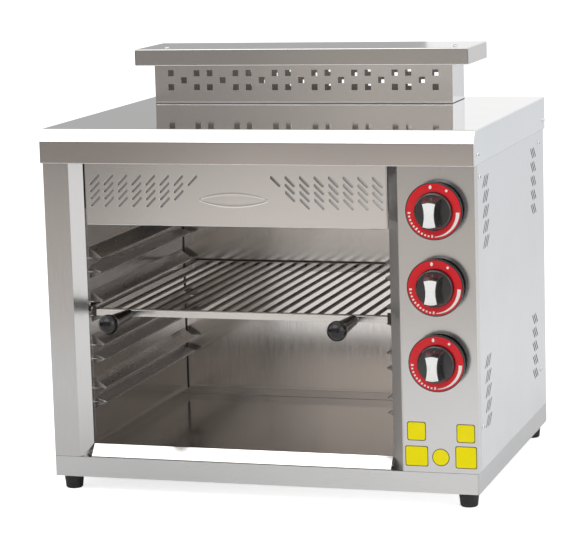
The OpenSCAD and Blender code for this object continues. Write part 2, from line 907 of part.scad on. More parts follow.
// ---- burners ------------------------------------------------------------

// Angles along the side linings, under the burners' ends
module burner_rails()
    color(dark_steel) in_place()
        for (s = [0, 1])
            translate([s * 2 * mouth_x, 0, 0]) mirror([s, 0, 0]) {
                y = [burner_y(0), burner_y(2) + burner_d];
                block([wall_l, wall_l + rail_w], y, [burner_z - rail_t, burner_z]);
                difference() {
                    block([wall_l, wall_l + rail_t], y, [burner_z - 18, burner_z]);
                    for (i = [0:2])
                        translate([wall_l - 1, burner_mid(i), lead_z])
                            rotate([0, 90, 0])
                                cylinder(h = rail_t + 2, d = lead_d + 1);
                }
            }

// Housing of burner i: a plenum, open below where the plaques sit
module burner_housing(i)
    color(dark_steel) in_place() {
        y = [burner_y(i), burner_y(i) + burner_d];
        top = burner_z + burner_h;
        lip = 3;
        difference() {
            block([burner_l, burner_r], y, [burner_z, top]);
            block([burner_l + burner_t, burner_r - burner_t],
                  [y[0] + burner_t, y[1] - burner_t], [plaque_z, top - burner_t]);
            block([burner_l + burner_t + lip, burner_r - burner_t - lip],
                  [y[0] + burner_t + lip, y[1] - burner_t - lip],
                  [burner_z - 1, plaque_z + 1]);
            translate([burner_r - burner_t - 1, burner_mid(i), venturi_z])
                rotate([0, 90, 0])
                    cylinder(h = burner_t + 2, r = venturi_r + run_fit);
        }
    }

module front_burner() burner_housing(0);
module middle_burner() burner_housing(1);
module rear_burner() burner_housing(2);

// Row of ceramic plaques on the lip inside housing i
module plaques(i)
    color(ceramic) in_place() {
        l0 = burner_l + burner_t + seam;
        span = burner_r - burner_t - seam - l0;
        w = (span - (plaque_n - 1) * plaque_gap) / plaque_n;
        for (k = [0:plaque_n - 1]) {
            x = l0 + k * (w + plaque_gap);
            y = burner_y(i) + burner_t + seam;
            block([x, x + w], [y, y + plaque_d], [plaque_z, plaque_z + plaque_t]);
        }
    }

module front_plaques() plaques(0);
module middle_plaques() plaques(1);
module rear_plaques() plaques(2);

// Wire screens hung on four legs below each housing
module burner_screens()
    color(dark_steel) in_place()
        for (i = [0:2]) {
            z = burner_z - screen_drop;
            x0 = burner_l + screen_end;
            x1 = burner_r - screen_end;
            y0 = burner_y(i) + 6;
            y1 = burner_y(i) + burner_d - 6;
            for (k = [0:wire_n - 1]) {
                y = y0 + k * (y1 - y0) / (wire_n - 1);
                bar([x0, y, z], [x1, y, z], wire_d);
            }
            for (x = [x0 + 5, x1 - 5]) {
                bar([x, y0 - 2, z], [x, y1 + 2, z], wire_d);
                for (y = [y0 - 2, y1 + 2])
                    bar([x, y, z - wire_d / 2], [x, y, burner_z], wire_d);
            }
        }

// Venturi tube of burner i, with a flared mouth on the tap side
module venturi(i)
    color(dark_steel) in_place()
        translate([burner_r - burner_t, burner_mid(i), venturi_z])
            rotate([0, 90, 0]) {
                l = venturi_end - burner_r + burner_t;
                flare = 12;
                r = venturi_r;
                m = venturi_mouth_d / 2;
                rotate_extrude()
                    polygon([[r - venturi_t, 0],
                             [r, 0],
                             [r, l - flare],
                             [m, l],
                             [m - venturi_t, l],
                             [r - venturi_t, l - flare]]);
            }

module front_venturi() venturi(0);
module middle_venturi() venturi(1);
module rear_venturi() venturi(2);

// Injectors that face the venturi mouths, each on a cross-arm across its mouth
module injectors()
    color(brass) in_place()
        for (i = [0:2])
            translate([0, burner_mid(i), venturi_z]) {
                translate([injector_x, 0, 0]) rotate([0, 90, 0]) {
                    cylinder(h = injector_l - 8, d = 12, $fn = 6);
                    cylinder(h = injector_l, d = feed_d + 1);
                    translate([0, 0, -5]) cylinder(h = 5, d1 = 3, d2 = 8);
                }
                difference() {
                    block([venturi_end, injector_x + 2],
                          [-1, 1] * venturi_mouth_d / 2, [-4, 4]);
                    block([venturi_end - 1, injector_x],
                          [3 - venturi_mouth_d / 2, venturi_mouth_d / 2 - 3], [-5, 5]);
                    translate([injector_x - 1, 0, 0]) rotate([0, 90, 0])
                        cylinder(h = 4, d = 12.6, $fn = 6);
                }
                block([injector_x, injector_x + 2], [5, 7], [-4, 4]);
            }

// ---- gas supply ---------------------------------------------------------

// Upright pipe behind the taps, with a flat boss for each of them
module supply_pipe()
    color(dark_steel) in_place() {
        top = knob_z(0) + valve_h / 2;
        union() {
            bar([knob_x, pipe_y, inlet_z], [knob_x, pipe_y, top], pipe_d);
            translate([knob_x, pipe_y, inlet_z]) sphere(d = pipe_d);
            bar([knob_x, pipe_y, inlet_z], [knob_x, rear_in - 8, inlet_z], pipe_d);
            for (i = [0:2])
                bar([knob_x, valve_back, knob_z(i)], [knob_x, pipe_y, knob_z(i)], 14);
        }
    }

// Threaded inlet through the back panel, with its lock nut outside
module gas_inlet()
    color(brass) in_place()
        translate([knob_x, 0, inlet_z]) {
            difference() {
                union() {
                    bar([0, rear_in - 8, 0], [0, inlet_end, 0], inlet_d);
                    translate([0, body_rear, 0]) rotate([-90, 0, 0])
                        cylinder(h = 6, d = 30, $fn = 6);
                }
                bar([0, rear_in - 9, 0], [0, inlet_end + 1, 0], inlet_d - 6);
            }
        }

// Tap i: body, neck round the collar and spindle, and its two outlets
module valve(i)
    color(brass) in_place() translate([knob_x, 0, knob_z(i)]) difference() {
        union() {
            block([-1, 1] * valve_w / 2, [valve_y, valve_back], [-1, 1] * valve_h / 2);
            bar([0, neck_y, 0], [0, valve_y + 1, 0], collar_d + 6);
        }
        bar([0, neck_y - 1, 0], [0, neck_end, 0], collar_d + 2 * run_fit);
        bar([0, neck_end - 1, 0], [0, neck_end + spindle_in - 6, 0],
            spindle_d + 2 * run_fit);
    }

module upper_valve() valve(0);
module middle_valve() valve(1);
module lower_valve() valve(2);

// Feed tubes from the taps' right sides to the injectors
module feed_tubes()
    color("#b8805a") in_place()
        for (i = [0:2]) {
            x = feed_side + 8 + i * 4;
            y = burner_mid(i);
            z = knob_z(i);
            bent_tube([[feed_side, feed_y, z],
                       [x, feed_y, z],
                       [x, y, z],
                       [x, y, venturi_z],
                       [injector_x + injector_l, y, venturi_z]], feed_d);
        }

// Thermocouple leads from the taps' left sides to the burners
module thermocouples()
    color("#a8673f") in_place()
        for (i = [0:2]) {
            x = wall_r + 10 + i * 6;
            y0 = feed_y + 4 - i * 5;
            y = burner_mid(i);
            bent_tube([[knob_x - valve_w / 2, y0, knob_z(i)],
                       [x, y0, knob_z(i)],
                       [x, y0, lead_z],
                       [x, y, lead_z],
                       [burner_r - 6, y, lead_z]], lead_d);
        }

// ---- knobs --------------------------------------------------------------

// Height of the grip's front above the skirt's rear plane
grip_top = skirt_h + disc_h + grip_h;
hub_d = spindle_d + 8;

// Collar that slides with a spindle while the spindle turns in it
module collar(i)
    color(brass) in_place() facing(knob_x, collar_y + collar_l, knob_z(i))
        difference() {
            cylinder(h = collar_l, d = collar_d);
            translate([0, 0, -1])
                cylinder(h = collar_l + 2, d = spindle_d + 2 * run_fit);
        }

module upper_collar() collar(0);
module middle_collar() collar(1);
module lower_collar() collar(2);

// Spindle with a shoulder in front of its collar and a flat for the knob
module spindle(i)
    color(bright) in_place() facing(knob_x, knob_y, knob_z(i)) {
        inner = neck_end - knob_y + spindle_in - 6 - push - 2;
        shoulder = collar_y - knob_y - seam;
        front = skirt_h + disc_h + 8;
        difference() {
            translate([0, 0, -inner]) cylinder(h = inner + front, d = spindle_d);
            block([-spindle_d, spindle_d], [spindle_r - spindle_flat, spindle_d],
                  [2, front + 1]);
        }
        translate([0, 0, -shoulder]) cylinder(h = 1.5, d = collar_d - 3);
    }

module upper_spindle() spindle(0);
module middle_spindle() spindle(1);
module lower_spindle() spindle(2);

// Block of the grip, round at its ends, with the upper end sloping back
module grip_block() {
    h = grip_h + 1;
    r = grip_d / 2;
    slope = atan(grip_slope / grip_h);
    translate([0, 0, skirt_h + disc_h - 1]) difference() {
        intersection() {
            cylinder(h = h, r = r);
            rotate([slope, 0, 0])
                translate([0, 0, -h]) cylinder(h = 4 * h, r = r * cos(slope));
        }
        for (s = [-1, 1])
            translate([s * (waist_r + grip_waist / 2), 0, 1])
                cylinder(h = h, r1 = waist_r - (grip_base - grip_waist) / 2, r2 = waist_r);
    }
}

// Knob: hollow skirt, raised disc and a waisted grip across it
module knob_body(i)
    color(black) in_place() facing(knob_x, knob_y, knob_z(i)) {
        sr = skirt_d / 2;
        dr = disc_d / 2;
        face = skirt_h - dial_t;
        disc = skirt_h + disc_h;
        wall = 3;
        difference() {
            union() {
                rotate_extrude()
                    polygon([[0, 0],
                             [hub_d / 2, 0],
                             [hub_d / 2, face - wall],
                             [sr - wall, face - wall],
                             [sr - wall, 0],
                             [sr, 0],
                             [sr, face - 1],
                             [sr - 1, face],
                             [dr, face],
                             [dr, disc - 2],
                             [dr - 2, disc],
                             [0, disc]]);
                grip_block();
            }
            intersection() {
                translate([0, 0, -1])
                    cylinder(h = disc + 9.3, r = spindle_r + run_fit);
                block([-spindle_d, spindle_d],
                      [-spindle_d, spindle_r - spindle_flat + run_fit],
                      [-1, disc + 9.3]);
            }
            translate([0, 0, -1]) cylinder(h = 3, r = spindle_r + run_fit);
        }
    }

module upper_knob() knob_body(0);
module middle_knob() knob_body(1);
module lower_knob() knob_body(2);

// Dial ring on the skirt's face
module dial(i)
    color(red) in_place() facing(knob_x, knob_y, knob_z(i))
        translate([0, 0, skirt_h - dial_t]) difference() {
            cylinder(h = dial_t, d = skirt_d - 2.4);
            translate([0, 0, -1]) cylinder(h = dial_t + 2, d = disc_d + 0.2);
        }

module upper_dial() dial(0);
module middle_dial() dial(1);
module lower_dial() dial(2);

// Waisted pointer plate on the grip's front
module pointer(i)
    color(white) in_place() facing(knob_x, knob_y, knob_z(i))
        translate([0, 0, grip_top]) linear_extrude(inlay_t) difference() {
            intersection() {
                circle(r = grip_d / 2 - inlay_in);
                translate([0, -grip_slope]) circle(r = grip_d / 2 - inlay_in);
            }
            for (s = [-1, 1])
                translate([s * (waist_r + grip_waist / 2), 0])
                    circle(r = waist_r + inlay_in);
        }

module upper_pointer() pointer(0);
module middle_pointer() pointer(1);
module lower_pointer() pointer(2);

// ---- drip tray ----------------------------------------------------------

// Section of the tray in y and z: floor, upright and the slanted lip
module tray_section() {
    t = tray_t;
    y0 = body_front;
    y1 = body_front + lip_d;
    z = tray_z;
    rect([y1, tray_end], [z, z + t]);
    rect([y1, y1 + t], [z, z + lip_h]);
    polygon([[y0, z],
             [y1, z + lip_h],
             [y1 + t, z + lip_h],
             [y1 + t, z + lip_h - t],
             [y0 + t * lip_d / lip_h, z]]);
}

module drip_tray()
    color(bright) in_place() {
        sheet_x(tray_l, tray_r - tray_l) tray_section();
        wall_y = [body_front + lip_d, tray_end];
        wall_z = [tray_z, tray_z + tray_wall];
        block([tray_l, tray_l + tray_t], wall_y, wall_z);
        block([tray_r - tray_t, tray_r], wall_y, wall_z);
        block([tray_l, tray_r], [tray_end - tray_t, tray_end], wall_z);
    }

// ---- grid ---------------------------------------------------------------

// Welded frame of flat bars, with a taller one at the rear
module grid_frame()
    color(bright) in_place() {
        difference() {
            block([grid_l, grid_r], [grid_y, grid_end], [grid_z, grid_z + bar_h]);
            block([grid_l + bar_t, grid_r - bar_t],
                  [grid_y + bar_t, grid_end - bar_t],
                  [grid_z - 1, grid_z + bar_h + 1]);
        }
        block([grid_l, grid_r], [grid_end - bar_t, grid_end], [grid_z, rod_z + stop_h]);
    }

// Rods from the front bar to the rear one, and the cross rod that joins them
module grid_rods()
    color(bright) in_place() {
        inner_l = grid_l + bar_t;
        inner_r = grid_r - bar_t;
        cross_y = grid_y + bar_t + cross_d / 2;
        bar([inner_l, cross_y, rod_z], [inner_r, cross_y, rod_z], cross_d);
        for (i = [1:rod_n]) {
            x = inner_l + i * (inner_r - inner_l) / (rod_n + 1);
            bar([x, cross_y, rod_z], [x, grid_end - bar_t, rod_z], rod_d);
        }
    }

module at_handles()
    for (x = [grid_l + handle_in, grid_r - handle_in])
        facing(x, handle_y, bar_z) children();

// Studs that stand out of the front bar into the handles
module handle_studs()
    color(bright) in_place() at_handles()
        translate([0, 0, -seam]) cylinder(h = stud_l + seam, d = stud_d);

// Turned handles: a narrow neck that swells to a round end
module grid_handles()
    color(black) in_place() at_handles() difference() {
        neck = handle_neck_d / 2;
        big = handle_end_d / 2;
        l = handle_length;
        union() {
            cylinder(h = l - 1.6 * big, r1 = neck, r2 = 0.78 * big);
            rotate_extrude() intersection() {
                translate([0, l - big]) circle(r = big);
                rect([0, big], [l - 1.9 * big, l]);
            }
        }
        translate([0, 0, -1]) cylinder(h = stud_l + 1 + seam, d = stud_d + 2 * stud_gap);
    }

// -------------------------------------------------------------------------

base_pan();
foot_pads();
foot_bolts();
floor_plate();
left_post();
control_panel();
left_side_panel();
right_side_panel();
back_panel();
top_cover();
upper_panel();
flue_front_grille();
flue_back_grille();
flue_end_plates();
flue_cap();
casing_screws();
left_liner();
right_liner();
back_liner();
left_runners();
right_runners();
burner_rails();
front_burner();
middle_burner();
rear_burner();
front_plaques();
middle_plaques();
rear_plaques();
burner_screens();
front_venturi();
middle_venturi();
rear_venturi();
injectors();
supply_pipe();
gas_inlet();
upper_valve();
middle_valve();
lower_valve();
feed_tubes();
thermocouples();
drip_tray();
grid_frame();
grid_rods();
grid_handles();
handle_studs();
upper_collar();
middle_collar();
lower_collar();
upper_spindle();
middle_spindle();
lower_spindle();
upper_knob();
middle_knob();
lower_knob();
upper_dial();
middle_dial();
lower_dial();
upper_pointer();
middle_pointer();
lower_pointer();
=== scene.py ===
# Cheese melter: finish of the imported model, its pressed and turned pieces, and the studio round it.
import math

import bmesh
import bpy
from mathutils import Matrix, Vector


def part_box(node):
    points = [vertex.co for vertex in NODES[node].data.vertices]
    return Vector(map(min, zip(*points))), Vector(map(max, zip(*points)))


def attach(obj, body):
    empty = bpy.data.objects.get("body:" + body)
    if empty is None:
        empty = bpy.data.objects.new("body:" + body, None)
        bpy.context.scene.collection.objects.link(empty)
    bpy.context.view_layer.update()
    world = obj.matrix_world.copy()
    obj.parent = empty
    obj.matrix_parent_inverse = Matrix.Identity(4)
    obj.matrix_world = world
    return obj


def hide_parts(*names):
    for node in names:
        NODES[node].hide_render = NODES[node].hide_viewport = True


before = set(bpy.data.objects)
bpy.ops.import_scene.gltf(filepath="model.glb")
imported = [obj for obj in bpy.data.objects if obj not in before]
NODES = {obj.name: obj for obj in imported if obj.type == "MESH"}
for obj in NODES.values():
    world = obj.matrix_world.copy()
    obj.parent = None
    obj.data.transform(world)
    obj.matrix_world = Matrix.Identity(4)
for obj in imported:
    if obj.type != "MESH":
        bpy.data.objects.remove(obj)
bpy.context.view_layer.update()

MM = 0.001
BOX = {name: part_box(name) for name in NODES}
LEVELS = ("upper", "middle", "lower")
ROWS = ("front", "middle", "rear")


def span(node, axis):
    """Lower and upper limit of a CAD node along an axis, in millimetres."""
    return tuple(corner["xyz".index(axis)] / MM for corner in BOX[node])


def low(node, axis):
    return span(node, axis)[0]


def high(node, axis):
    return span(node, axis)[1]


# ---- camera ---------------------------------------------------------------

IMAGE_WIDTH = 575
FOCAL_PX = 2516.9
SENSOR = 36.0
YAW, PITCH, ROLL = math.radians(17.316), math.radians(9.3605), math.radians(-1.6613)
DISTANCE = 3.3024
# The lid's top front edge, seen from the picture's centre, in metres, and that edge's height
AIM = (-0.04911, 0.18923)
LID_TOP = high("top_cover", "z") * MM - 0.0006


def place_camera():
    forward = Vector((-math.sin(YAW) * math.cos(PITCH), math.cos(YAW) * math.cos(PITCH), -math.sin(PITCH)))
    level = Vector((math.cos(YAW), math.sin(YAW), 0.0))
    steep = level.cross(forward)
    right = math.cos(ROLL) * level + math.sin(ROLL) * steep
    up = -math.sin(ROLL) * level + math.cos(ROLL) * steep
    origin = Vector((0.0, low("top_cover", "y") * MM, LID_TOP))
    data = bpy.data.cameras.new("camera")
    data.sensor_fit = "HORIZONTAL"
    data.sensor_width = SENSOR
    data.lens = FOCAL_PX * SENSOR / IMAGE_WIDTH
    data.clip_end = 100.0
    camera = bpy.data.objects.new("camera", data)
    bpy.context.scene.collection.objects.link(camera)
    basis = Matrix((right, up, -forward)).transposed().to_4x4()
    basis.translation = origin - forward * DISTANCE - right * AIM[0] - up * AIM[1]
    camera.matrix_world = basis
    bpy.context.scene.camera = camera


place_camera()

# ---- shader nodes ---------------------------------------------------------

WHITE = (1.0, 1.0, 1.0, 1.0)


def feed(tree, node, inputs):
    """Fills a shader node's inputs with numbers, colours or other nodes' sockets."""
    for socket, value in dict(inputs).items():
        if isinstance(value, bpy.types.NodeSocket):
            tree.links.new(value, node.inputs[socket])
        else:
            node.inputs[socket].default_value = value
    return node


def wire(tree, kind, inputs=()):
    return feed(tree, tree.nodes.new(f"ShaderNode{kind}"), inputs)


def reckon(tree, operation, *values):
    """Arithmetic on numbers and sockets. Gives a value socket."""
    made = wire(tree, "Math")
    made.operation = operation
    return feed(tree, made, enumerate(values)).outputs[0]


def blend(tree, amount, first, second):
    """A mix of two colours. Gives a colour socket."""
    mix = tree.nodes.new("ShaderNodeMix")
    mix.data_type = "RGBA"
    return feed(tree, mix, {"Factor": amount, "A": first, "B": second}).outputs["Result"]


def row_point(tree):
    """The shaded point in the row frame, in metres."""
    return wire(tree, "TexCoord").outputs["Object"]


def ranged(tree, value, start, end, bottom=0.0, top=1.0):
    """A value mapped from start..end to bottom..top, clamped."""
    return wire(tree, "MapRange", {"Value": value, "From Min": start, "From Max": end,
                                   "To Min": bottom, "To Max": top}).outputs["Result"]


def empty_tree(owner):
    owner.use_nodes = True
    owner.node_tree.nodes.clear()
    return owner.node_tree


# ---- materials ------------------------------------------------------------


class Paint:
    """A node-based material, built from the Principled shader outwards."""

    def __init__(self, name, colour, metallic=0.0, roughness=0.5, **sockets):
        self.material = bpy.data.materials.new(name)
        self.tree = empty_tree(self.material)
        self.colour = (*colour, 1.0)
        self.relief = None
        self.shader = self.node("BsdfPrincipled")
        self.set({"Base Color": self.colour, "Metallic": metallic, "Roughness": roughness})
        self.set({socket.replace("_", " "): value for socket, value in sockets.items()})
        self.node("OutputMaterial", {"Surface": self.shader.outputs["BSDF"]})

    def node(self, kind, inputs=()):
        return wire(self.tree, kind, inputs)

    def set(self, inputs):
        feed(self.tree, self.shader, inputs)

    def noise(self, stretch=(1, 1, 1), scale=100.0, detail=3.0, roughness=0.6, offset=(0, 0, 0)):
        """Noise over the object's own coordinates, stretched along the axes. Gives a value socket."""
        mapping = self.node("Mapping", {"Scale": stretch, "Location": offset, "Vector": row_point(self.tree)})
        return self.node("TexNoise", {"Scale": scale, "Detail": detail, "Roughness": roughness,
                                      "Vector": mapping.outputs["Vector"]}).outputs["Fac"]

    def patches(self, scale, start, end, **rest):
        """Soft patches: 0 where the noise is below start, 1 where it is above end."""
        return ranged(self.tree, self.noise(scale=scale, **rest), start, end)

    def along(self, axis, start, end, bottom=0.0, top=1.0):
        """A value that changes along an axis, between two places in metres."""
        split = self.node("SeparateXYZ", {0: row_point(self.tree)})
        return ranged(self.tree, split.outputs["xyz".index(axis)], start, end, bottom, top)

    def tint(self, value, colour, amount=1.0):
        """Blends the base colour towards another by a value between 0 and 1."""
        if amount != 1.0:
            value = ranged(self.tree, value, 0.0, 1.0, 0.0, amount)
        self.colour = blend(self.tree, value, self.colour, (*colour, 1.0))
        self.set({"Base Color": self.colour})

    def rough(self, value, bottom, top, start=0.3, end=0.7):
        self.set({"Roughness": ranged(self.tree, value, start, end, bottom, top)})

    def bump(self, value, distance, strength=1.0):
        """Adds a layer of relief, of that depth in metres."""
        made = self.node("Bump", {"Strength": strength, "Distance": distance, "Height": value})
        if self.relief:
            feed(self.tree, made, {"Normal": self.relief})
        self.relief = made.outputs["Normal"]
        self.set({"Normal": self.relief})


ACROSS, UPRIGHT, LENGTHWISE, LEVEL = (0.04, 1, 1), (1, 1, 0.04), (1, 0.04, 1), (0.04, 0.04, 1)
# Depth of the lid's dish in metres, and the stretch of its depth over which it falls
DISH = 0.0132
DISH_Y = (-0.3, 0.3)


def steel(name, colour, roughness, grain=(1, 1, 1), spread=0.05, relief=0.00001, waves=0.0, smudge=0.06,
          ramps=(), dished=False, **sockets):
    """Rolled stainless sheet: a fine grain, faint smudges and slight waves in the sheet. Each ramp paints
    light
    and shade as a colour gradient: it holds an axis, two places on it in metres and the colour from the
    second place on."""
    paint = Paint(name, colour, metallic=1.0, roughness=roughness, **sockets)
    fine = paint.noise(grain, scale=900.0, detail=4.0)
    paint.rough(fine, roughness - spread, roughness + spread)
    paint.bump(fine, relief, 0.35)
    darker = tuple(c * (1.0 - smudge * 2) for c in colour)
    paint.tint(paint.patches(9.0, 0.35, 0.75, offset=(3.1, 1.7, 0.4)), darker, 0.8)
    if waves:
        paint.bump(paint.noise(scale=5.0, detail=1.0, offset=(0.3, 5.2, 2.2)), waves)
    # Painted light and shade: the base colour changes along an axis
    for axis, start, end, other in ramps:
        paint.tint(paint.along(axis, start, end), other)
    if dished:
        paint.bump(paint.along("y", *DISH_Y, 1.0, 0.0), DISH)
    return paint.material


def casing(name, colour, roughness, grain, **rest):
    """Clean outer sheet, with slight waves and hardly any smudges."""
    return steel(name, colour, roughness, grain, **{"spread": 0.04, "waves": 0.0004, "smudge": 0.03, **rest})


# The post is painted lighter towards its top: painted light
post_sheet = casing("post_sheet", (0.57, 0.565, 0.56), 0.2, UPRIGHT,
                    ramps=[("z", 0.1, 0.43, (0.675, 0.665, 0.66))])
# The panel is painted lighter towards its right: painted light
satin_across = casing("satin_steel_across", (0.67, 0.665, 0.655), 0.2, ACROSS,
                      ramps=[("x", -0.235, -0.13, (0.79, 0.785, 0.775))])
# The base's right end face is painted darker than its front: painted shade
base_sheet = casing("base_sheet", (0.61, 0.61, 0.61), 0.24, ACROSS, waves=0.0003, smudge=0.02,
                    ramps=[("x", 0.2955, 0.2975, (0.49, 0.49, 0.495))])
# The side panels are painted lighter and bluer towards their top: painted light
side_sheet = casing("side_sheet", (0.70, 0.715, 0.735), 0.3, UPRIGHT, spread=0.03, waves=0.0003,
                    ramps=[("z", 0.28, 0.47, (0.755, 0.78, 0.81))])
# The vents' inner walls are painted dark: painted shade inside the vents
shaded_vent_wall = steel("vent_walls", (0.27, 0.275, 0.285), 0.4, spread=0.06)
# The sheet is slightly dished, so its front slopes down towards the flue
mirror_lid = casing("polished_lid", (0.735, 0.725, 0.72), 0.05, ACROSS, spread=0.015, relief=0.000002,
                    dished=True)
# Copies of the lid's sheet: lighter and bluer for its ends, darker and warmer for its front skirt; painted
# light and shade by the way the faces look
lid_ends = casing("lid_ends", (0.795, 0.825, 0.855), 0.2, LENGTHWISE, waves=0.0003)
lid_skirt = casing("lid_skirt", (0.68, 0.65, 0.635), 0.14, ACROSS, spread=0.03)
satin_cap = casing("satin_cap", (0.70, 0.69, 0.68), 0.14, ACROSS, spread=0.03)
# The flue's front is painted lighter towards its right: painted light
flue_sheet = casing("flue_sheet", (0.76, 0.745, 0.735), 0.16, ACROSS, spread=0.03, waves=0.0003,
                    ramps=[("x", -0.24, 0.06, (0.93, 0.915, 0.905))])
# The flue's ends are painted lighter and bluer than its front: painted light
end_sheet = steel("flue_end_sheet", (0.83, 0.84, 0.86), 0.16, UPRIGHT, spread=0.03)
# The flue's rear sheet glows faintly: painted light inside the flue
glowing_rear_sheet = steel("flue_rear_sheet", (0.72, 0.71, 0.70), 0.45, ACROSS, spread=0.08,
                   Emission_Color=(1.0, 0.88, 0.8, 1.0), Emission_Strength=0.035)
hem_steel = steel("hem_steel", (0.56, 0.55, 0.54), 0.3, ACROSS)
lining = steel("cavity_lining", (0.70, 0.675, 0.655), 0.13, LEVEL, spread=0.04, relief=0.00009, waves=0.0005)
# The back lining is painted lighter towards its right: painted light
back_lining = steel("back_lining", (0.66, 0.635, 0.61), 0.17, UPRIGHT, spread=0.04, relief=0.00002,
                    waves=0.0005, ramps=[("x", -0.115, -0.03, (0.85, 0.815, 0.785))])
# The runners glow faintly: painted light for the light bounced round the cavity
runner_sheet = steel("runner_sheet", (0.7, 0.67, 0.65), 0.3, LEVEL, relief=0.00003,
                     Emission_Color=(1.0, 0.94, 0.9, 1.0), Emission_Strength=0.02)
# Darker copies of the runners' sheet for their front ends: painted shade
shaded_runner_end = steel("runner_ends", (0.23, 0.215, 0.205), 0.4, UPRIGHT)
shaded_runner_front = steel("runner_fronts", (0.3, 0.285, 0.275), 0.4, UPRIGHT)
# The tray is painted lighter towards its right: painted light
tray_sheet = steel("tray_sheet", (0.58, 0.56, 0.54), 0.13, ACROSS, spread=0.04, relief=0.000005, waves=0.001,
                   ramps=[("x", -0.14, 0.02, (0.68, 0.655, 0.635))])
bright_bar = steel("bright_bar", (0.78, 0.77, 0.75), 0.16, ACROSS)
# The grid's bars are painted dark behind the front bar and less dark at the rear bar: painted shade
frame_bars = steel("grid_bars", (0.78, 0.77, 0.75), 0.16, ACROSS,
                   ramps=[("y", -0.178, -0.172, (0.3, 0.28, 0.265)), ("y", 0.208, 0.211, (0.5, 0.47, 0.455))])
rod_wire = steel("rod_wire", (0.27, 0.24, 0.22), 0.45, LENGTHWISE, spread=0.08)
dark_end = steel("dark_bar_end", (0.06, 0.055, 0.055), 0.4)
zinc = steel("zinc_screws", (0.8, 0.8, 0.8), 0.14, spread=0.04)
hidden_sheet = steel("galvanised_sheet", (0.55, 0.56, 0.57), 0.4, ACROSS, spread=0.06, smudge=0.12)


def panel_steel():
    """The control panel's sheet, rougher along the slanted edge beside the mouth and painted slightly darker
    and warmer there as painted shade.
    """
    paint = Paint("panel_sheet", (0.6, 0.595, 0.59), metallic=1.0, roughness=0.2)
    paint.tint(paint.patches(14.0, 0.4, 0.7), (0.585, 0.58, 0.575), 0.6)
    edge = reckon(paint.tree, "MINIMUM", paint.along("x", 0.197, 0.1985, 1.0, 0.0),
                  paint.along("z", 0.374, 0.384, 1.0, 0.0))
    # Painted shade on the slanted edge beside the mouth
    paint.tint(edge, (0.6, 0.58, 0.565))
    paint.rough(edge, 0.2, 0.42, 0.0, 1.0)
    paint.bump(paint.noise(UPRIGHT, scale=900.0), 0.00001, 0.4)
    return paint.material


def heat_steel():
    """Mild steel that has been hot: brown and blue patches on a dull scale."""
    paint = Paint("heat_steel", (0.17, 0.15, 0.14), metallic=0.85, roughness=0.55)
    paint.tint(paint.patches(14.0, 0.4, 0.7), (0.2, 0.11, 0.06))
    paint.tint(paint.patches(22.0, 0.55, 0.75, offset=(4, 2, 7)), (0.1, 0.12, 0.18), 0.7)
    paint.rough(paint.noise(scale=300.0), 0.42, 0.68)
    paint.bump(paint.noise(scale=700.0), 0.00006, 0.7)
    return paint.material


def ceramic():
    """Porous burner plaque with rows of fine gas holes, painted dark inside as painted shade."""
    paint = Paint("burner_ceramic", (0.72, 0.62, 0.47), roughness=0.9)
    holes = paint.node("TexVoronoi", {"Scale": 330.0, "Randomness": 0.12, "Vector": row_point(paint.tree)})
    dots = ranged(paint.tree, holes.outputs["Distance"], 0.18, 0.34, 1.0, 0.0)
    # The holes are painted dark: painted shade in them
    paint.tint(dots, (0.16, 0.11, 0.07))
    paint.tint(paint.patches(18.0, 0.5, 0.75), (0.5, 0.34, 0.22), 0.6)
    paint.bump(dots, -0.0006, 0.8)
    return paint.material


def drawn_metal(name, colour, stain, roughness):
    """Brass or copper with handling marks and a dull bloom."""
    paint = Paint(name, colour, metallic=1.0, roughness=roughness)
    paint.tint(paint.patches(40.0, 0.45, 0.75), stain, 0.8)
    paint.rough(paint.noise((1, 0.1, 1), scale=500.0), roughness - 0.08, roughness + 0.14)
    paint.bump(paint.noise((1, 0.1, 1), scale=800.0), 0.00002, 0.6)
    return paint.material


def moulded(name, colour, roughness, pebble=0.00001, **sockets):
    """Moulded plastic: a fine pebble and faint dust."""
    paint = Paint(name, colour, roughness=roughness, **sockets)
    paint.rough(paint.noise(scale=160.0), roughness - 0.04, roughness + 0.06)
    paint.bump(paint.noise(scale=1800.0, detail=2.0), pebble, 0.4)
    dust = tuple(min(1.0, c + 0.03) for c in colour)
    paint.tint(paint.patches(30.0, 0.5, 0.8, offset=(1, 9, 4)), dust, 0.6)
    return paint.material


def blade_paint(name, colour, metallic, roughness, least, most):
    """Pressed blades behind the louvres, with a grain across the panel."""
    paint = Paint(name, colour, metallic=metallic, roughness=roughness)
    paint.rough(paint.noise(ACROSS, scale=600.0), least, most)
    paint.bump(paint.noise(ACROSS, scale=900.0), 0.00001, 0.4)
    return paint


def shaded_blades():
    """The left louvres' blades, painted darker than the panel's sheet: painted shade behind the slots."""
    paint = blade_paint("louvre_blades", (0.36, 0.34, 0.325), 0.35, 0.6, 0.5, 0.68)
    paint.tint(paint.patches(60.0, 0.4, 0.7), (0.3, 0.275, 0.255), 0.8)
    return paint.material


def bright_blades():
    """The right louvres' blades, which stand nearly flush; painted dark and lighter towards the panel's end,
    as painted shade and light.
    """
    paint = blade_paint("bright_blades", (0.34, 0.325, 0.315), 0.6, 0.5, 0.42, 0.55)
    # Painted light towards the panel's end
    paint.tint(paint.along("x", 0.02, 0.16), (0.66, 0.645, 0.635))
    return paint.material


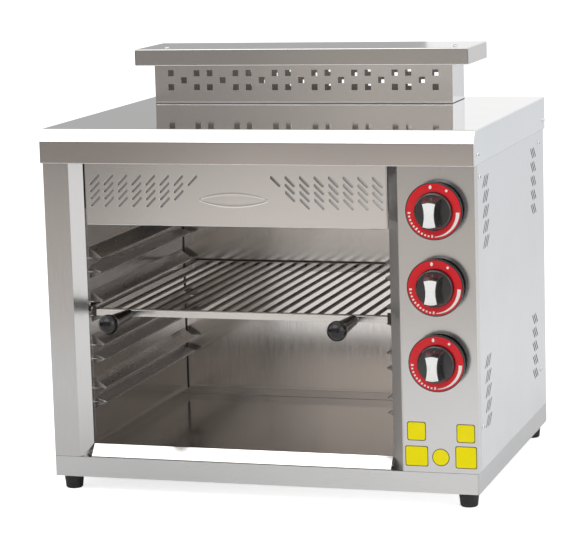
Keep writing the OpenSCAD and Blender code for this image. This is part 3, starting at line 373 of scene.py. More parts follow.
panel_sheet = panel_steel()
shaded_blade_steel = shaded_blades()
blade_bright = bright_blades()
hot_metal = heat_steel()
plaque = ceramic()
brass = drawn_metal("machined_brass", (0.74, 0.55, 0.26), (0.42, 0.28, 0.12), 0.3)
copper = drawn_metal("copper_tube", (0.80, 0.42, 0.26), (0.4, 0.19, 0.12), 0.28)
rubber = moulded("foot_rubber", (0.012, 0.012, 0.013), 0.6, 0.00008)
bakelite = moulded("black_bakelite", (0.022, 0.021, 0.022), 0.22, 0.00002, Coat_Weight=0.3,
                   Coat_Roughness=0.12)
handle_black = moulded("handle_black", (0.006, 0.005, 0.006), 0.22, 0.000005, Specular_IOR_Level=0.3,
                       Coat_Weight=0.35, Coat_Roughness=0.03)
dial_red = moulded("dial_red", (0.74, 0.003, 0.012), 0.3, Specular_IOR_Level=0.25, Coat_Weight=0.35,
                   Coat_Roughness=0.04)
dial_mark = moulded("dial_mark", (0.93, 0.9, 0.87), 0.35)
inlay_white = moulded("inlay_white", (0.94, 0.94, 0.93), 0.3, Coat_Weight=0.5)
sign_yellow = moulded("sign_yellow", (0.97, 0.84, 0.0), 0.5, Specular_IOR_Level=0.15)
sign_edge = moulded("sign_edge", (0.1, 0.09, 0.02), 0.45)
# Dark bars for the screws' cross recesses: painted shade
recess_shade = moulded("screw_recess", (0.03, 0.03, 0.032), 0.5, 0.00002)
# Dark beads along joints, gaps and corners: painted shade
dark_joint_shade = moulded("painted_seam_shade", (0.1, 0.09, 0.11), 0.6, 0.00002)
grey_joint_shade = moulded("painted_flue_foot_shade", (0.16, 0.15, 0.145), 0.6, 0.00002)

# The record's material slots, with the materials whose pieces take their finish from them
SLOTS = {
    "brushed_steel": (satin_across, shaded_blade_steel, blade_bright, side_sheet),
    "polished_steel": (mirror_lid, satin_cap, hem_steel, lining, runner_sheet, bright_bar, dark_end),
    "bright_wire": (zinc, recess_shade),
    "bakelite": (bakelite, handle_black),
    "white_inlay": (inlay_white, dial_mark),
    "red_dial": (dial_red,),
}
SLOT_OF = {material: slot for slot, materials in SLOTS.items() for material in materials}


def each(places, *parts):
    """Node names made of each place and each part."""
    return tuple(f"{where}_{part}" for where in places for part in parts)


NODE_FINISH = {
    panel_sheet: ("control_panel",),
    post_sheet: ("left_post",),
    satin_across: ("upper_panel",),
    base_sheet: ("base_pan",),
    flue_sheet: ("flue_front_grille",),
    end_sheet: ("flue_end_plates",),
    glowing_rear_sheet: ("flue_back_grille",),
    side_sheet: ("left_side_panel", "right_side_panel", "back_panel"),
    mirror_lid: ("top_cover", "flue_cap"),
    lining: ("left_liner", "right_liner", "left_runners", "right_runners"),
    back_lining: ("back_liner",),
    tray_sheet: ("drip_tray",),
    frame_bars: ("grid_frame",),
    rod_wire: ("grid_rods",),
    zinc: ("casing_screws", "foot_bolts", "handle_studs") + each(LEVELS, "spindle"),
    hidden_sheet: ("floor_plate",),
    hot_metal: ("burner_rails", "burner_screens", "supply_pipe") + each(ROWS, "burner", "venturi"),
    plaque: each(ROWS, "plaques"),
    brass: ("injectors", "gas_inlet") + each(LEVELS, "valve", "collar"),
    copper: ("feed_tubes", "thermocouples"),
    rubber: ("foot_pads",),
    handle_black: ("grid_handles",),
    bakelite: each(LEVELS, "knob"),
    dial_red: each(LEVELS, "dial"),
    inlay_white: each(LEVELS, "pointer"),
}
SOFT_EDGE = 0.0004


def round_edges(piece, width, steps, angle):
    """A bevel modifier on edges where faces meet at more than that angle. The width is in metres."""
    edge = piece.modifiers.new("edge", "BEVEL")
    edge.width = width
    edge.segments = steps
    edge.limit_method = "ANGLE"
    edge.angle_limit = math.radians(angle)
    return edge


def finish_nodes():
    """Gives every CAD node its material and a narrow rounding along its edges."""
    for material, names in NODE_FINISH.items():
        for name in names:
            node = NODES[name]
            node.data.materials.clear()
            node.data.materials.append(material)
            node.modifiers.new("weld", "WELD").merge_threshold = 0.00001
            round_edges(node, SOFT_EDGE, 2, 35).harden_normals = True
    missing = set(NODES) - {name for names in NODE_FINISH.values() for name in names}
    assert not missing, missing


finish_nodes()

# ---- building pieces ------------------------------------------------------
# Points are in millimetres in the row frame until solid() turns them into metres.

SKIN = 1.2
# Clearance between neighbouring sheets in the part's source
SEAM = 0.3
FORWARD = Vector((0, -1, 0))


def solid(name, points, faces, material, body="cabinet", replaced=(), slot=None, smooth=35):
    """A mesh piece that rides on a body, smooth where its faces meet at less than that angle."""
    mesh = bpy.data.meshes.new(name)
    mesh.from_pydata([Vector(p) * MM for p in points], [], faces)
    work = bmesh.new()
    work.from_mesh(mesh)
    bmesh.ops.remove_doubles(work, verts=work.verts, dist=0.000002)
    bmesh.ops.recalc_face_normals(work, faces=work.faces)
    work.to_mesh(mesh)
    work.free()
    for face in mesh.polygons:
        face.use_smooth = True
    mesh.set_sharp_from_angle(angle=math.radians(smooth))
    mesh.materials.append(material)
    made = bpy.data.objects.new(name, mesh)
    bpy.context.scene.collection.objects.link(made)
    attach(made, body)
    if replaced:
        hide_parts(*replaced)
    slot = slot or SLOT_OF.get(material)
    return made


def fillet(points, radii, steps=5, closed=False):
    """A polyline in two dimensions with its corners rounded. radii is one number, or one per point."""
    count = len(points)
    radii = [radii] * count if isinstance(radii, (int, float)) else radii
    result = []
    for i, point in enumerate(points):
        here = Vector(point)
        if radii[i] <= 0 or (not closed and i in (0, count - 1)):
            result.append(here)
            continue
        before, after = Vector(points[i - 1]) - here, Vector(points[(i + 1) % count]) - here
        half = before.angle(after) / 2
        back = min(radii[i] / math.tan(half), before.length * 0.49, after.length * 0.49)
        radius = back * math.tan(half)
        centre = here + (before.normalized() + after.normalized()).normalized() * (radius / math.sin(half))
        start, end = here + before.normalized() * back - centre, here + after.normalized() * back - centre
        turn = start.angle_signed(end)
        result += [centre + Matrix.Rotation(-turn * k / steps, 2) @ start for k in range(steps + 1)]
    return result


def axes(direction):
    """Two unit vectors across a direction, and its own. For a piece that faces -y they are +x and +z."""
    along = Vector(direction).normalized()
    side = Vector((1, 0, 0)) if abs(along.x) < 0.9 else Vector((0, -1, 0))
    other = side.cross(along) * -1
    return side, -other if other.z < 0 else other, along


def turns(steps):
    """Angles of a full turn, in equal steps."""
    return [2 * math.pi * k / steps for k in range(steps)]


def oblong(x0, x1, y0, y1):
    """Corners of a rectangle, anticlockwise from the lower left one."""
    return [(x0, y0), (x1, y0), (x1, y1), (x0, y1)]


def ellipse(width, height, steps, middle=(0, 0)):
    return [Vector(middle) + Vector((width * math.cos(a), height * math.sin(a))) / 2 for a in turns(steps)]


def lathe(name, profile, centre, direction, material, steps=96, **rest):
    """A turned piece: profile holds (radius, height) from one end to the other."""
    side, other, along = axes(direction)
    centre = Vector(centre)
    points, faces, rings = [], [], []
    for radius, height in profile:
        first = len(points)
        if radius < 1e-6:
            points.append(centre + along * height)
            rings.append([first] * steps)
            continue
        points += [centre + along * height + side * radius * math.cos(a) + other * radius * math.sin(a)
                   for a in turns(steps)]
        rings.append(list(range(first, first + steps)))
    for lower, upper in zip(rings, rings[1:]):
        for k in range(steps):
            face = [lower[k], lower[(k + 1) % steps], upper[(k + 1) % steps], upper[k]]
            face = list(dict.fromkeys(face))
            if len(face) > 2:
                faces.append(face)
    return solid(name, points, faces, material, **rest)


def loft(name, sections, material, capped=True, **rest):
    """A skin over closed sections with equal numbers of points."""
    points = [p for section in sections for p in section]
    count = len(sections[0])
    faces = []
    for i in range(len(sections) - 1):
        for k in range(count):
            a, b = i * count + k, i * count + (k + 1) % count
            faces.append([a, b, b + count, a + count])
    if capped:
        faces += [list(range(count)), list(range(len(points) - count, len(points)))]
    return solid(name, points, faces, material, **rest)


def plate(name, outline, place, normal, thickness, material, edge=0.0, **rest):
    """A flat plate with that outline, which stands by its thickness on a plane through `place`."""
    side, other, along = axes(normal)
    rings = [(0.0, 0.0), (0.0, thickness - edge)] + ([(edge, thickness)] if edge else [])
    middle = sum((Vector(p) for p in outline), Vector((0, 0))) / len(outline)
    sections = []
    for inset, height in rings:
        ring = []
        for p in outline:
            arm = Vector(p) - middle
            q = middle + arm * (1 - inset / max(arm.length, 1e-6))
            ring.append(Vector(place) + side * q.x + other * q.y + along * height)
        sections.append(ring)
    return loft(name, sections, material, **rest)


def tube(name, path, radius, material, closed=False, steps=10, **rest):
    """A round bead along a polyline in space."""
    path = [Vector(p) for p in path]
    sections = []
    for i, here in enumerate(path):
        if closed:
            ahead = path[(i + 1) % len(path)] - path[i - 1]
        else:
            ahead = path[min(i + 1, len(path) - 1)] - path[max(i - 1, 0)]
        ahead.normalize()
        across = Vector((0.0, 0.12, 0.99)) if abs(ahead.z) < 0.95 else Vector((0, 1, 0))
        side = ahead.cross(across).normalized()
        other = side.cross(ahead)
        sections.append([here + (side * math.cos(a) + other * math.sin(a)) * radius for a in turns(steps)])
    if closed:
        sections.append(sections[0])
    return loft(name, sections, material, capped=not closed, **rest)


def flat_faces(piece):
    """Keeps a piece's large faces flat in their shading, next to narrow rounded edges."""
    level = piece.modifiers.new("level", "WEIGHTED_NORMAL")
    level.mode = "FACE_AREA"
    level.weight = 50
    level.keep_sharp = True


def bend_edges(piece, radius, thickness=0.0, angle=25):
    """Rounds a sheet's folds and gives it its thickness, towards the inside."""
    round_edges(piece, radius * MM, 3, angle)
    if thickness:
        gauge = piece.modifiers.new("gauge", "SOLIDIFY")
        gauge.thickness = thickness * MM
        gauge.offset = -1.0
        piece.modifiers.new("rim", "EDGE_SPLIT").split_angle = math.radians(60)
    flat_faces(piece)


def pierced(name, outline, holes, at, edge, material, **rest):
    """A sheet with holes. `at` turns sheet coordinates and a depth into row coordinates, and the sheet
    lies between depth 0 and its thickness. All edges get a narrow bevel."""
    curve = bpy.data.curves.new(name, "CURVE")
    curve.dimensions = "2D"
    curve.fill_mode = "BOTH"
    curve.extrude = SKIN / 2 - edge
    curve.bevel_depth = edge
    curve.bevel_resolution = 0
    curve.offset = -edge
    for ring in [outline] + list(holes):
        spline = curve.splines.new("POLY")
        spline.points.add(len(ring) - 1)
        for point, here in zip(spline.points, ring):
            point.co = (here[0], here[1], 0.0, 1.0)
        spline.use_cyclic_u = True
    shape = bpy.data.objects.new(name, curve)
    bpy.context.scene.collection.objects.link(shape)
    bpy.context.view_layer.update()
    filled = shape.evaluated_get(bpy.context.evaluated_depsgraph_get())
    mesh = filled.to_mesh()
    points = [at(v.co.x, v.co.y, v.co.z + SKIN / 2) for v in mesh.vertices]
    faces = [list(face.vertices) for face in mesh.polygons]
    filled.to_mesh_clear()
    bpy.data.objects.remove(shape)
    bpy.data.curves.remove(curve)
    made = solid(name, points, faces, material, smooth=30, **rest)
    flat_faces(made)
    return made


def slot_ring(x, z, length, width, angle, steps=6):
    """Outline of a slot with round ends, about a point, turned by an angle in degrees."""
    half, r = (length - width) / 2, width / 2
    spin = Matrix.Rotation(math.radians(angle), 2)
    ring = []
    for end, middle in ((0, half), (1, -half)):
        for k in range(steps + 1):
            a = math.pi * (end + k / steps) - math.pi / 2
            ring.append(spin @ Vector((middle + r * math.cos(a), r * math.sin(a))) + Vector((x, z)))
    return ring


# ---- louvred panel --------------------------------------------------------

SLOT_L, SLOT_W, SLOT_SIDE, SLOT_DROP = 18.6, 3.2, 9.0, 16.8
SLOT_PITCH = (20.0, 10.0)
SLOT_COLUMNS = (4, 4, 4, 4, 4, 4, 3, 1)
# How far the right slots stand to the right of the left ones' mirror image
SLOT_SHIFT = 1.8
# Gaps beside the panel, left and right, and its front face behind the CAD panel's
PANEL_GAPS = (1.3, 0.6)
PANEL_SET = 1.0
PANEL_BEND = 1.6
PANEL_EDGE = 0.28
LOWER_FLANGE, SIDE_FLANGE = 7.0, 5.0
# A blade ends before its slot, and reaches past the slot's upper and lower edges
BLADE_END, BLADE_TOP, BLADE_FOOT = 0.6, 0.5, 0.7
# Thickness of the blades at their tops and feet
BLADE_T = (0.7, 0.6)
# How deep the blades' feet stand behind their tops
DEEP, SHALLOW = 1.7, 0.9


def louvre_places():
    """Middles of the panel's slots, with the angle of each."""
    x0, x1 = low("upper_panel", "x") - SEAM, high("upper_panel", "x") + SEAM
    skirt = low("top_cover", "z")
    reach = (SLOT_L - SLOT_W) / math.sqrt(2) + SLOT_W
    for column, rows in enumerate(SLOT_COLUMNS):
        for row in range(rows):
            away = SLOT_SIDE + reach / 2 + column * SLOT_PITCH[0]
            z = skirt - SLOT_DROP - reach / 2 - row * SLOT_PITCH[1]
            yield x0 + away, z, 45.0
            yield x1 - away + SLOT_SHIFT, z, 135.0


def louvred_panel():
    """The panel over the mouth: pressed slots, folds along its sides and its lower edge."""
    x0, x1 = low("upper_panel", "x") + PANEL_GAPS[0], high("upper_panel", "x") - PANEL_GAPS[1]
    z0, z1 = span("upper_panel", "z")
    front = low("upper_panel", "y") + PANEL_SET
    bend = PANEL_BEND

    def at(x, z, depth):
        return Vector((x, front + depth, z))

    holes = [slot_ring(x, z, SLOT_L, SLOT_W, angle) for x, z, angle in louvre_places()]
    pierced("louvred_panel", oblong(x0 + bend, x1 - bend, z0 + bend, z1), holes, at, PANEL_EDGE,
            satin_across, replaced=("upper_panel",))

    def quarter(radius, steps):
        return [(radius * (1 - math.sin(a)), radius * (1 - math.cos(a)))
                for a in (math.pi / 2 * k / steps for k in range(steps + 1))]

    def fold(name, ends, length):
        """A quarter round along an edge with a flange behind it, between two ends."""
        inside = [(SKIN + across, SKIN + depth) for across, depth in reversed(quarter(bend - SKIN, 3))]
        profile = quarter(bend, 6) + [(0.0, length), (SKIN, length)] + inside
        flat_faces(loft(name, [[end(*p) for p in profile] for end in ends], satin_across, smooth=50))

    fold("panel_lower_fold", [lambda u, d, x=x: at(x, z0 + u, d) for x in (x0 + bend, x1 - bend)],
         LOWER_FLANGE)
    fold("panel_left_fold", [lambda u, d, z=z: at(x0 + u, z, d) for z in (z0 + bend, z1)], SIDE_FLANGE)
    fold("panel_right_fold", [lambda u, d, z=z: at(x1 - u, z, d) for z in (z0 + bend, z1)], SIDE_FLANGE)
    blades("left_blades", 45.0, shaded_blade_steel, DEEP, at)
    blades("right_blades", 135.0, blade_bright, SHALLOW, at)


def blades(name, side, material, sunk, at):
    """Pressed blades behind the slots of one slant, hung along the slots' upper edges."""
    points, faces = [], []
    half = SLOT_L / 2 - BLADE_END
    top, foot = SLOT_W / 2 + BLADE_TOP, -SLOT_W / 2 - BLADE_FOOT
    front, rear = PANEL_SET, PANEL_SET + sunk
    upward = 1 if side < 90 else -1
    spin = Matrix.Rotation(math.radians(side), 2)
    for x, z, angle in louvre_places():
        if angle != side:
            continue
        base = len(points)
        for along in (-half, half):
            for across, depth in ((top, front), (foot, rear), (foot, rear + BLADE_T[1]),
                                  (top, front + BLADE_T[0])):
                p = spin @ Vector((along, across * upward)) + Vector((x, z))
                points.append(at(p.x, p.y, depth))
        for k in range(4):
            faces.append([base + k, base + (k + 1) % 4, base + (k + 1) % 4 + 4, base + k + 4])
        faces += [[base, base + 1, base + 2, base + 3], [base + 4, base + 5, base + 6, base + 7]]
    solid(name, points, faces, material, smooth=20)


louvred_panel()

# ---- lid, flue cap and side panels ----------------------------------------

LID_BEVEL = (12.0, 16.5)
# From the flue's outside to the opening in the lid: at the sides, in front and behind
FLUE_INSET = (11.2, 11.2, 15.5)
LID_BEND, CAP_BEND = 1.6, 1.5
HEM_R = 0.45
CAP_JOINT_R = 0.35
RIM_R, SEAM_R = 0.3, 0.36


def pressed_lid():
    """The lid with soft folds, a bevel along its front and the flue's opening in its top."""
    (x0, x1), (y0, y1), (z0, z1) = (span("top_cover", axis) for axis in "xyz")
    depth, height = LID_BEVEL
    side, front, rear = FLUE_INSET
    xs = [x0, low("flue_front_grille", "x") + side, high("flue_front_grille", "x") - side, x1]
    ys = [y0 + depth, low("flue_front_grille", "y") + front, high("flue_back_grille", "y") - rear, y1]
    points, faces = [], []

    def row(y, z):
        """Four corners across the lid. Gives their numbers."""
        points.extend((x, y, z) for x in xs)
        return range(len(points) - 4, len(points))

    top = [row(y, z1) for y in ys]
    for j in range(3):
        for i in range(3):
            if (i, j) != (1, 1):
                faces.append([top[j][i], top[j][i + 1], top[j + 1][i + 1], top[j + 1][i]])
    crease, hem, tail = row(y0, z1 - height), row(y0, z0), row(y1, z0)
    for i in range(3):
        faces.append([crease[i], crease[i + 1], top[0][i + 1], top[0][i]])
        faces.append([hem[i], hem[i + 1], crease[i + 1], crease[i]])
        faces.append([top[3][i], top[3][i + 1], tail[i + 1], tail[i]])
    for i in (0, 3):
        faces.append([hem[i], crease[i], top[0][i], top[1][i], top[2][i], top[3][i], tail[i]])
    lid = solid("lid", points, faces, mirror_lid, replaced=("top_cover",), smooth=180)
    lid.data.materials.append(lid_skirt)
    lid.data.materials.append(lid_ends)
    # Faces that look forward take the darker copy and faces that look sideways the lighter, bluer one:
    # painted shade and light
    for face in lid.data.polygons:
        face.material_index = 1 if face.normal.y < -0.99 else 2 if abs(face.normal.x) > 0.99 else 0
    bend_edges(lid, LID_BEND, SKIN)
    inset = HEM_R * 0.35
    corners = (x0 + inset, y1 - 2), (x0 + inset, y0 + inset), (x1 - inset, y0 + inset), (x1 - inset, y1 - 2)
    tube("lid_hem", [(*corner, z0 + HEM_R) for corner in corners], HEM_R, hem_steel)


def flue_cap():
    """The cap's lid with an open underside and soft folds, its hem, and dark beads in the open joints at its
    front as painted shade.
    """
    (x0, x1), (y0, y1), (z0, z1) = (span("flue_cap", axis) for axis in "xyz")
    points = [(*corner, z) for z in (z0, z1) for corner in oblong(x0, x1, y0, y1)]
    faces = [[4, 5, 6, 7]] + [[i, (i + 1) % 4, (i + 1) % 4 + 4, i + 4] for i in range(4)]
    cap = solid("cap_lid", points, faces, satin_cap, replaced=("flue_cap",), smooth=180)
    bend_edges(cap, CAP_BEND, SKIN)
    inset = 0.3
    corners = oblong(x0 + inset, x1 - inset, y0 + inset, y1 - inset)
    tube("cap_hem", [(*corner, z0 + HEM_R) for corner in corners], HEM_R, hem_steel, closed=True)
    # Dark beads in the open joints: painted shade
    for name, x in (("cap_joint_left", x0 + CAP_JOINT_R), ("cap_joint_right", x1 - CAP_JOINT_R)):
        tube(name, [(x, y0 + 0.25, z0 + 1.5), (x, y0 + 0.25, z1 - 3.0)], CAP_JOINT_R, dark_joint_shade, steps=6)


def flue_foot():
    """Narrow folded rim where the flue's front stands on the lid, and a dark bead under it as painted shade
    along the joint.
    """
    x0, x1 = low("flue_front_grille", "x") + 0.4, high("flue_front_grille", "x") - 0.4
    y, z = low("flue_front_grille", "y"), high("top_cover", "z")
    tube("flue_rim", [(x0, y, z + 1.3), (x1, y, z + 1.3)], RIM_R, hem_steel, slot="brushed_steel")
    x2, y2 = high("flue_end_plates", "x"), high("flue_back_grille", "y")
    corners = (x0, y - 0.1), (x2, y - 0.1), (x2, y2)
    # Painted shade along the flue's foot
    tube("flue_seam", [(*corner, z + 0.35) for corner in corners], SEAM_R, grey_joint_shade, steps=8)


VENT = (21.0, 2.8)
VENT_STEP = 10.0
VENT_ROWS = 5
VENT_PITCH = 20.0
# Middles of the stacks from the panel's front and rear, and first rows from the lid's skirt and its foot
VENT_SIDES = (45.0, 43.5)
VENT_ENDS = (27.0, 59.0)
# Nearer to the panel's edges than this, no vent's wall is found
VENT_MARGIN = 20.0
VENT_EDGE = 0.25


def side_panel(side):
    """A side panel with its four stacks of slanted vents."""
    node = f"{side}_side_panel"
    outer, inward = (high(node, "x"), -1) if side == "right" else (low(node, "x"), 1)
    (y0, y1), (z0, z1) = span(node, "y"), span(node, "z")
    holes = []
    for row in range(VENT_ROWS):
        rise = row * VENT_PITCH
        for z in (low("top_cover", "z") - VENT_ENDS[0] - rise, z0 + VENT_ENDS[1] + rise):
            for step in (-VENT_STEP, 0, VENT_STEP):
                holes.append(slot_ring(y0 + VENT_SIDES[0] + step, z, *VENT, 45.0))
                holes.append(slot_ring(y1 - VENT_SIDES[1] + step, z, *VENT, 135.0))
    made = pierced(f"{side}_panel", oblong(y0, y1, z0, z1), holes,
                   lambda y, z, depth: Vector((outer + inward * depth, y, z)), VENT_EDGE, side_sheet,
                   replaced=(node,))
    # The walls inside the vents take the dark material: painted shade
    made.data.materials.append(shaded_vent_wall)
    for face in made.data.polygons:
        y, z = face.center.y / MM, face.center.z / MM
        inside = y0 + VENT_MARGIN < y < y1 - VENT_MARGIN and z0 + VENT_MARGIN < z < z1 - VENT_MARGIN
        if abs(face.normal.x) < 0.9 and inside:
            face.material_index = 1


# ---- screws, cavity and seams ---------------------------------------------

# How far the cap's left and right screws stand to the right of the CAD's
CAP_SCREW_SHIFT = (1.5, 9.0)
SCREW_SEAT = 2.0
RECESS = (4.0, 0.9)
RECESS_Z, RECESS_T = 1.6, 0.42


def loose_boxes(node):
    """Limits of each separate solid of a CAD node, in millimetres."""
    work = bmesh.new()
    work.from_mesh(NODES[node].data)
    bmesh.ops.remove_doubles(work, verts=work.verts, dist=0.000005)
    left = set(work.verts)
    boxes = []
    while left:
        queue, found = [left.pop()], []
        while queue:
            vert = queue.pop()
            found.append(vert.co.copy())
            for edge in vert.link_edges:
                other = edge.other_vert(vert)
                if other in left:
                    left.remove(other)
                    queue.append(other)
        boxes.append([(min(p[i] for p in found) / MM, max(p[i] for p in found) / MM) for i in range(3)])
    work.free()
    return sorted(boxes)


def screw_head(name, seat, direction, replaced):
    """A pan head on its seat, with its cross recess drawn as two dark bars: painted shade."""
    profile = [(0, 0), (3.7, 0), (3.8, 0.15), (3.7, 0.8), (3.3, 1.35), (2.6, 1.7), (1.6, 1.9), (0, 1.97)]
    lathe(name, profile, seat, direction, zinc, steps=32, replaced=replaced, smooth=60)
    for k, angle in enumerate((45, 135)):
        plate(f"{name}_recess_{k}", slot_ring(0, 0, *RECESS, angle, steps=3),
              Vector(seat) + Vector(direction) * RECESS_Z, direction, RECESS_T, recess_shade)


def screws():
    """The casing's screws, in its sides and on top of the flue's cap."""
    for count, (x, y, z) in enumerate(loose_boxes("casing_screws")):
        middle = Vector([(a + b) / 2 for a, b in (x, y, z)])
        if z[1] - z[0] > x[1] - x[0]:
            middle.x += CAP_SCREW_SHIFT[0] if middle.x < 0 else CAP_SCREW_SHIFT[1]
            middle.z, direction = z[1] - SCREW_SEAT, (0, 0, 1)
        elif middle.x > 0:
            middle.x, direction = x[1] - SCREW_SEAT, (1, 0, 0)
        else:
            middle.x, direction = x[0] + SCREW_SEAT, (-1, 0, 0)
        screw_head(f"screw_{count}", middle, direction, () if count else ("casing_screws",))


GUIDE_TOP = 12.2
GUIDE_W, GUIDE_REAR_W, GUIDE_T = 5.7, 6.6, 0.8
GUIDE_START = 18.0
CORNER_W = 0.8


def tray_guides():
    """Narrow ledges on the linings that keep the drip tray straight, and dark strips in the linings' rear
    corners as painted shade.
    """
    left, right = low("left_runners", "x"), high("right_runners", "x")
    y0, y1 = low("left_runners", "y") - GUIDE_START, low("back_liner", "y")
    top = high("floor_plate", "z") + GUIDE_TOP

    def upright(name, outline, z0, z1, material):
        loft(name, [[Vector((*p, z)) for p in outline] for z in (z0, z1)], material)

    for name, x0, x1, front in (("left_tray_guide", left, left + GUIDE_W, y0),
                                ("right_tray_guide", right - GUIDE_W, right, y0),
                                ("rear_tray_guide", left + GUIDE_W, right - GUIDE_W, y1 - GUIDE_REAR_W)):
        upright(name, oblong(x0, x1, front, y1), top - GUIDE_T, top, lining)
    # Dark strips in the rear corners: painted shade
    w = CORNER_W
    for name, x in (("left_corner", left + w), ("right_corner", right - w)):
        outline = [(x - w, y1), (x - w, y1 - 1.2), (x + w, y1 - 0.4), (x + w, y1)]
        upright(name, outline, top, low("upper_panel", "z") + 30.0, dark_joint_shade)


RIB_REACH, RIB_RISE, RIB_H, RIB_GAP, RIB_PITCH = 21.0, 6.0, 15.0, 19.0, 60.5
RIB_PAIRS = 4
RIB_CORNER, RIB_TIP_R, RIB_EDGE_R = 4.5, 1.3, 0.5
# Sections of a pair, from the wall to the tip and back, with the height of each one's tip
RIB_SHAPES = {"lower": ([(0, RIB_RISE), (RIB_REACH, 0), (0, RIB_RISE - RIB_H)], 0.0),
              "upper": ([(0, RIB_GAP + RIB_H), (RIB_REACH, RIB_GAP), (0, RIB_GAP)], RIB_GAP)}


def runners(side):
    """Pairs of pressed runners with nearly square front ends, painted darker as painted shade, and bright
    edges on the left ones.
    """
    node = f"{side}_runners"
    wall, inward = (low(node, "x"), 1) if side == "left" else (high(node, "x"), -1)
    y0, y1 = span(node, "y")
    first = low(node, "z") + RIB_H - RIB_RISE
    rows = [(y0 + RIB_CORNER * (1 - math.cos(a)), (RIB_REACH - RIB_CORNER * (1 - math.sin(a))) / RIB_REACH)
            for a in (math.pi / 12 * k for k in range(7))] + [(y1, 1.0)]
    replaced = (node,)
    for pair in range(RIB_PAIRS):
        base = first + pair * RIB_PITCH
        for part, (outline, tip) in RIB_SHAPES.items():
            name = f"{side}_runner_{pair}_{part}"
            section = fillet(outline, [0, RIB_TIP_R, 0], 4)
            sections = [[Vector((wall + inward * p.x * scale, y, base + p.y)) for p in section]
                        for y, scale in rows]
            made = loft(name, sections, runner_sheet, replaced=replaced, smooth=40)
            replaced = ()
            # Faces that look forward take a darker copy: painted shade
            made.data.materials.append(shaded_runner_end if side == "right" and pair else shaded_runner_front)
            for face in made.data.polygons:
                if face.normal.y < -0.5:
                    face.material_index = 1
            if side == "left":
                y, z = y0 - 0.1, base + tip + 0.2
                tube(f"{name}_edge", [(wall + 0.3, y, z), (wall + RIB_REACH - RIB_CORNER, y, z)], RIB_EDGE_R,
                     bright_bar, steps=6)


def base_seam():
    """A dark bead along the joint between the base rail and the sheets that stand on it: painted shade in the
    gap.
    """
    y, z = low("control_panel", "y") + 0.15, low("control_panel", "z")
    # Painted shade along the base's joint
    for name, node in (("seam_right", "control_panel"), ("seam_left", "left_post")):
        x0, x1 = span(node, "x")
        tube(name, [(x0 + 1.0, y, z), (x1 - 1.0, y, z)], 0.3, dark_joint_shade, steps=6)


pressed_lid()
flue_cap()
flue_foot()
side_panel("left")
side_panel("right")
screws()
tray_guides()
runners("left")
runners("right")
base_seam()

# ---- knobs ----------------------------------------------------------------

# Heights are above the skirt's rear plane.
SKIRT_R = (high("middle_knob", "x") - low("middle_knob", "x")) / 2
SKIRT_REAR = high("middle_knob", "y")
FRONT_Z = SKIRT_REAR - low("middle_knob", "y")
FACE_Z = SKIRT_REAR - low("middle_dial", "y")
DISC_R = 24.75
GRIP_HEIGHT = 19.0
DISC_Z = FRONT_Z - GRIP_HEIGHT
SKIRT_WALL, SKIRT_FRONT = 3.0, 4.0
SKIRT_TAPER = 2.0
SKIRT_BORE = 8.0
# From the dial's face down to the foot of the skirt's straight rim, and from the rim in to the ring
SKIRT_RIM, RIM_INSET = 3.4, 1.2
# How far the skirt's front lies below the dial's face
BED = 0.2
# The grip from the knob's axis: down, up at its front, to the sides at its ends and at its waist
GRIP_ROOT = 20.5
GRIP_TOP_END = 15.0
GRIP_ENDS = 9.6
GRIP_WAIST = 7.3
GRIP_LAYERS = 9
GRIP_BULGE = 1.4
INLAY_T = 0.9
DIAL_T, DIAL_CROWN = 0.8, 0.25
MARK_R, TICK_R = 32.0, 34.2
MARK_T = 0.3
# The flame's first and last angle and half width, and how far it drifts outwards on the way
FLAME_TURN, FLAME_HALF = (-2.0, -88.0), (2.4, 0.5)
FLAME_DRIFT = 1.2
TICKS, TICK_START, TICK_STEP, TICK_HALF = 11, 184.0, 8.2, 2.0
LONG_TICK, SHORT_TICK = 3.6, 2.4


def grip_outline(upper, lower, ends, waist, steps=10):
    """Outline of the grip: waisted sides and slightly round ends."""
    right = []
    for k in range(2 * steps + 1):
        t = k / steps - 1.0
        right.append(Vector((waist + (ends - waist) * abs(t) ** 1.8, -lower + (upper + lower) * (t + 1) / 2)))
    left = [Vector((-p.x, p.y)) for p in reversed(right)]
    cap = [(ends * (1 - 2 * k / 6), GRIP_BULGE * math.sin(math.pi * k / 6)) for k in range(1, 6)]
    front, rear = [Vector((x, upper + y)) for x, y in cap], [Vector((-x, -lower - y)) for x, y in cap]
    return right + front + left + rear


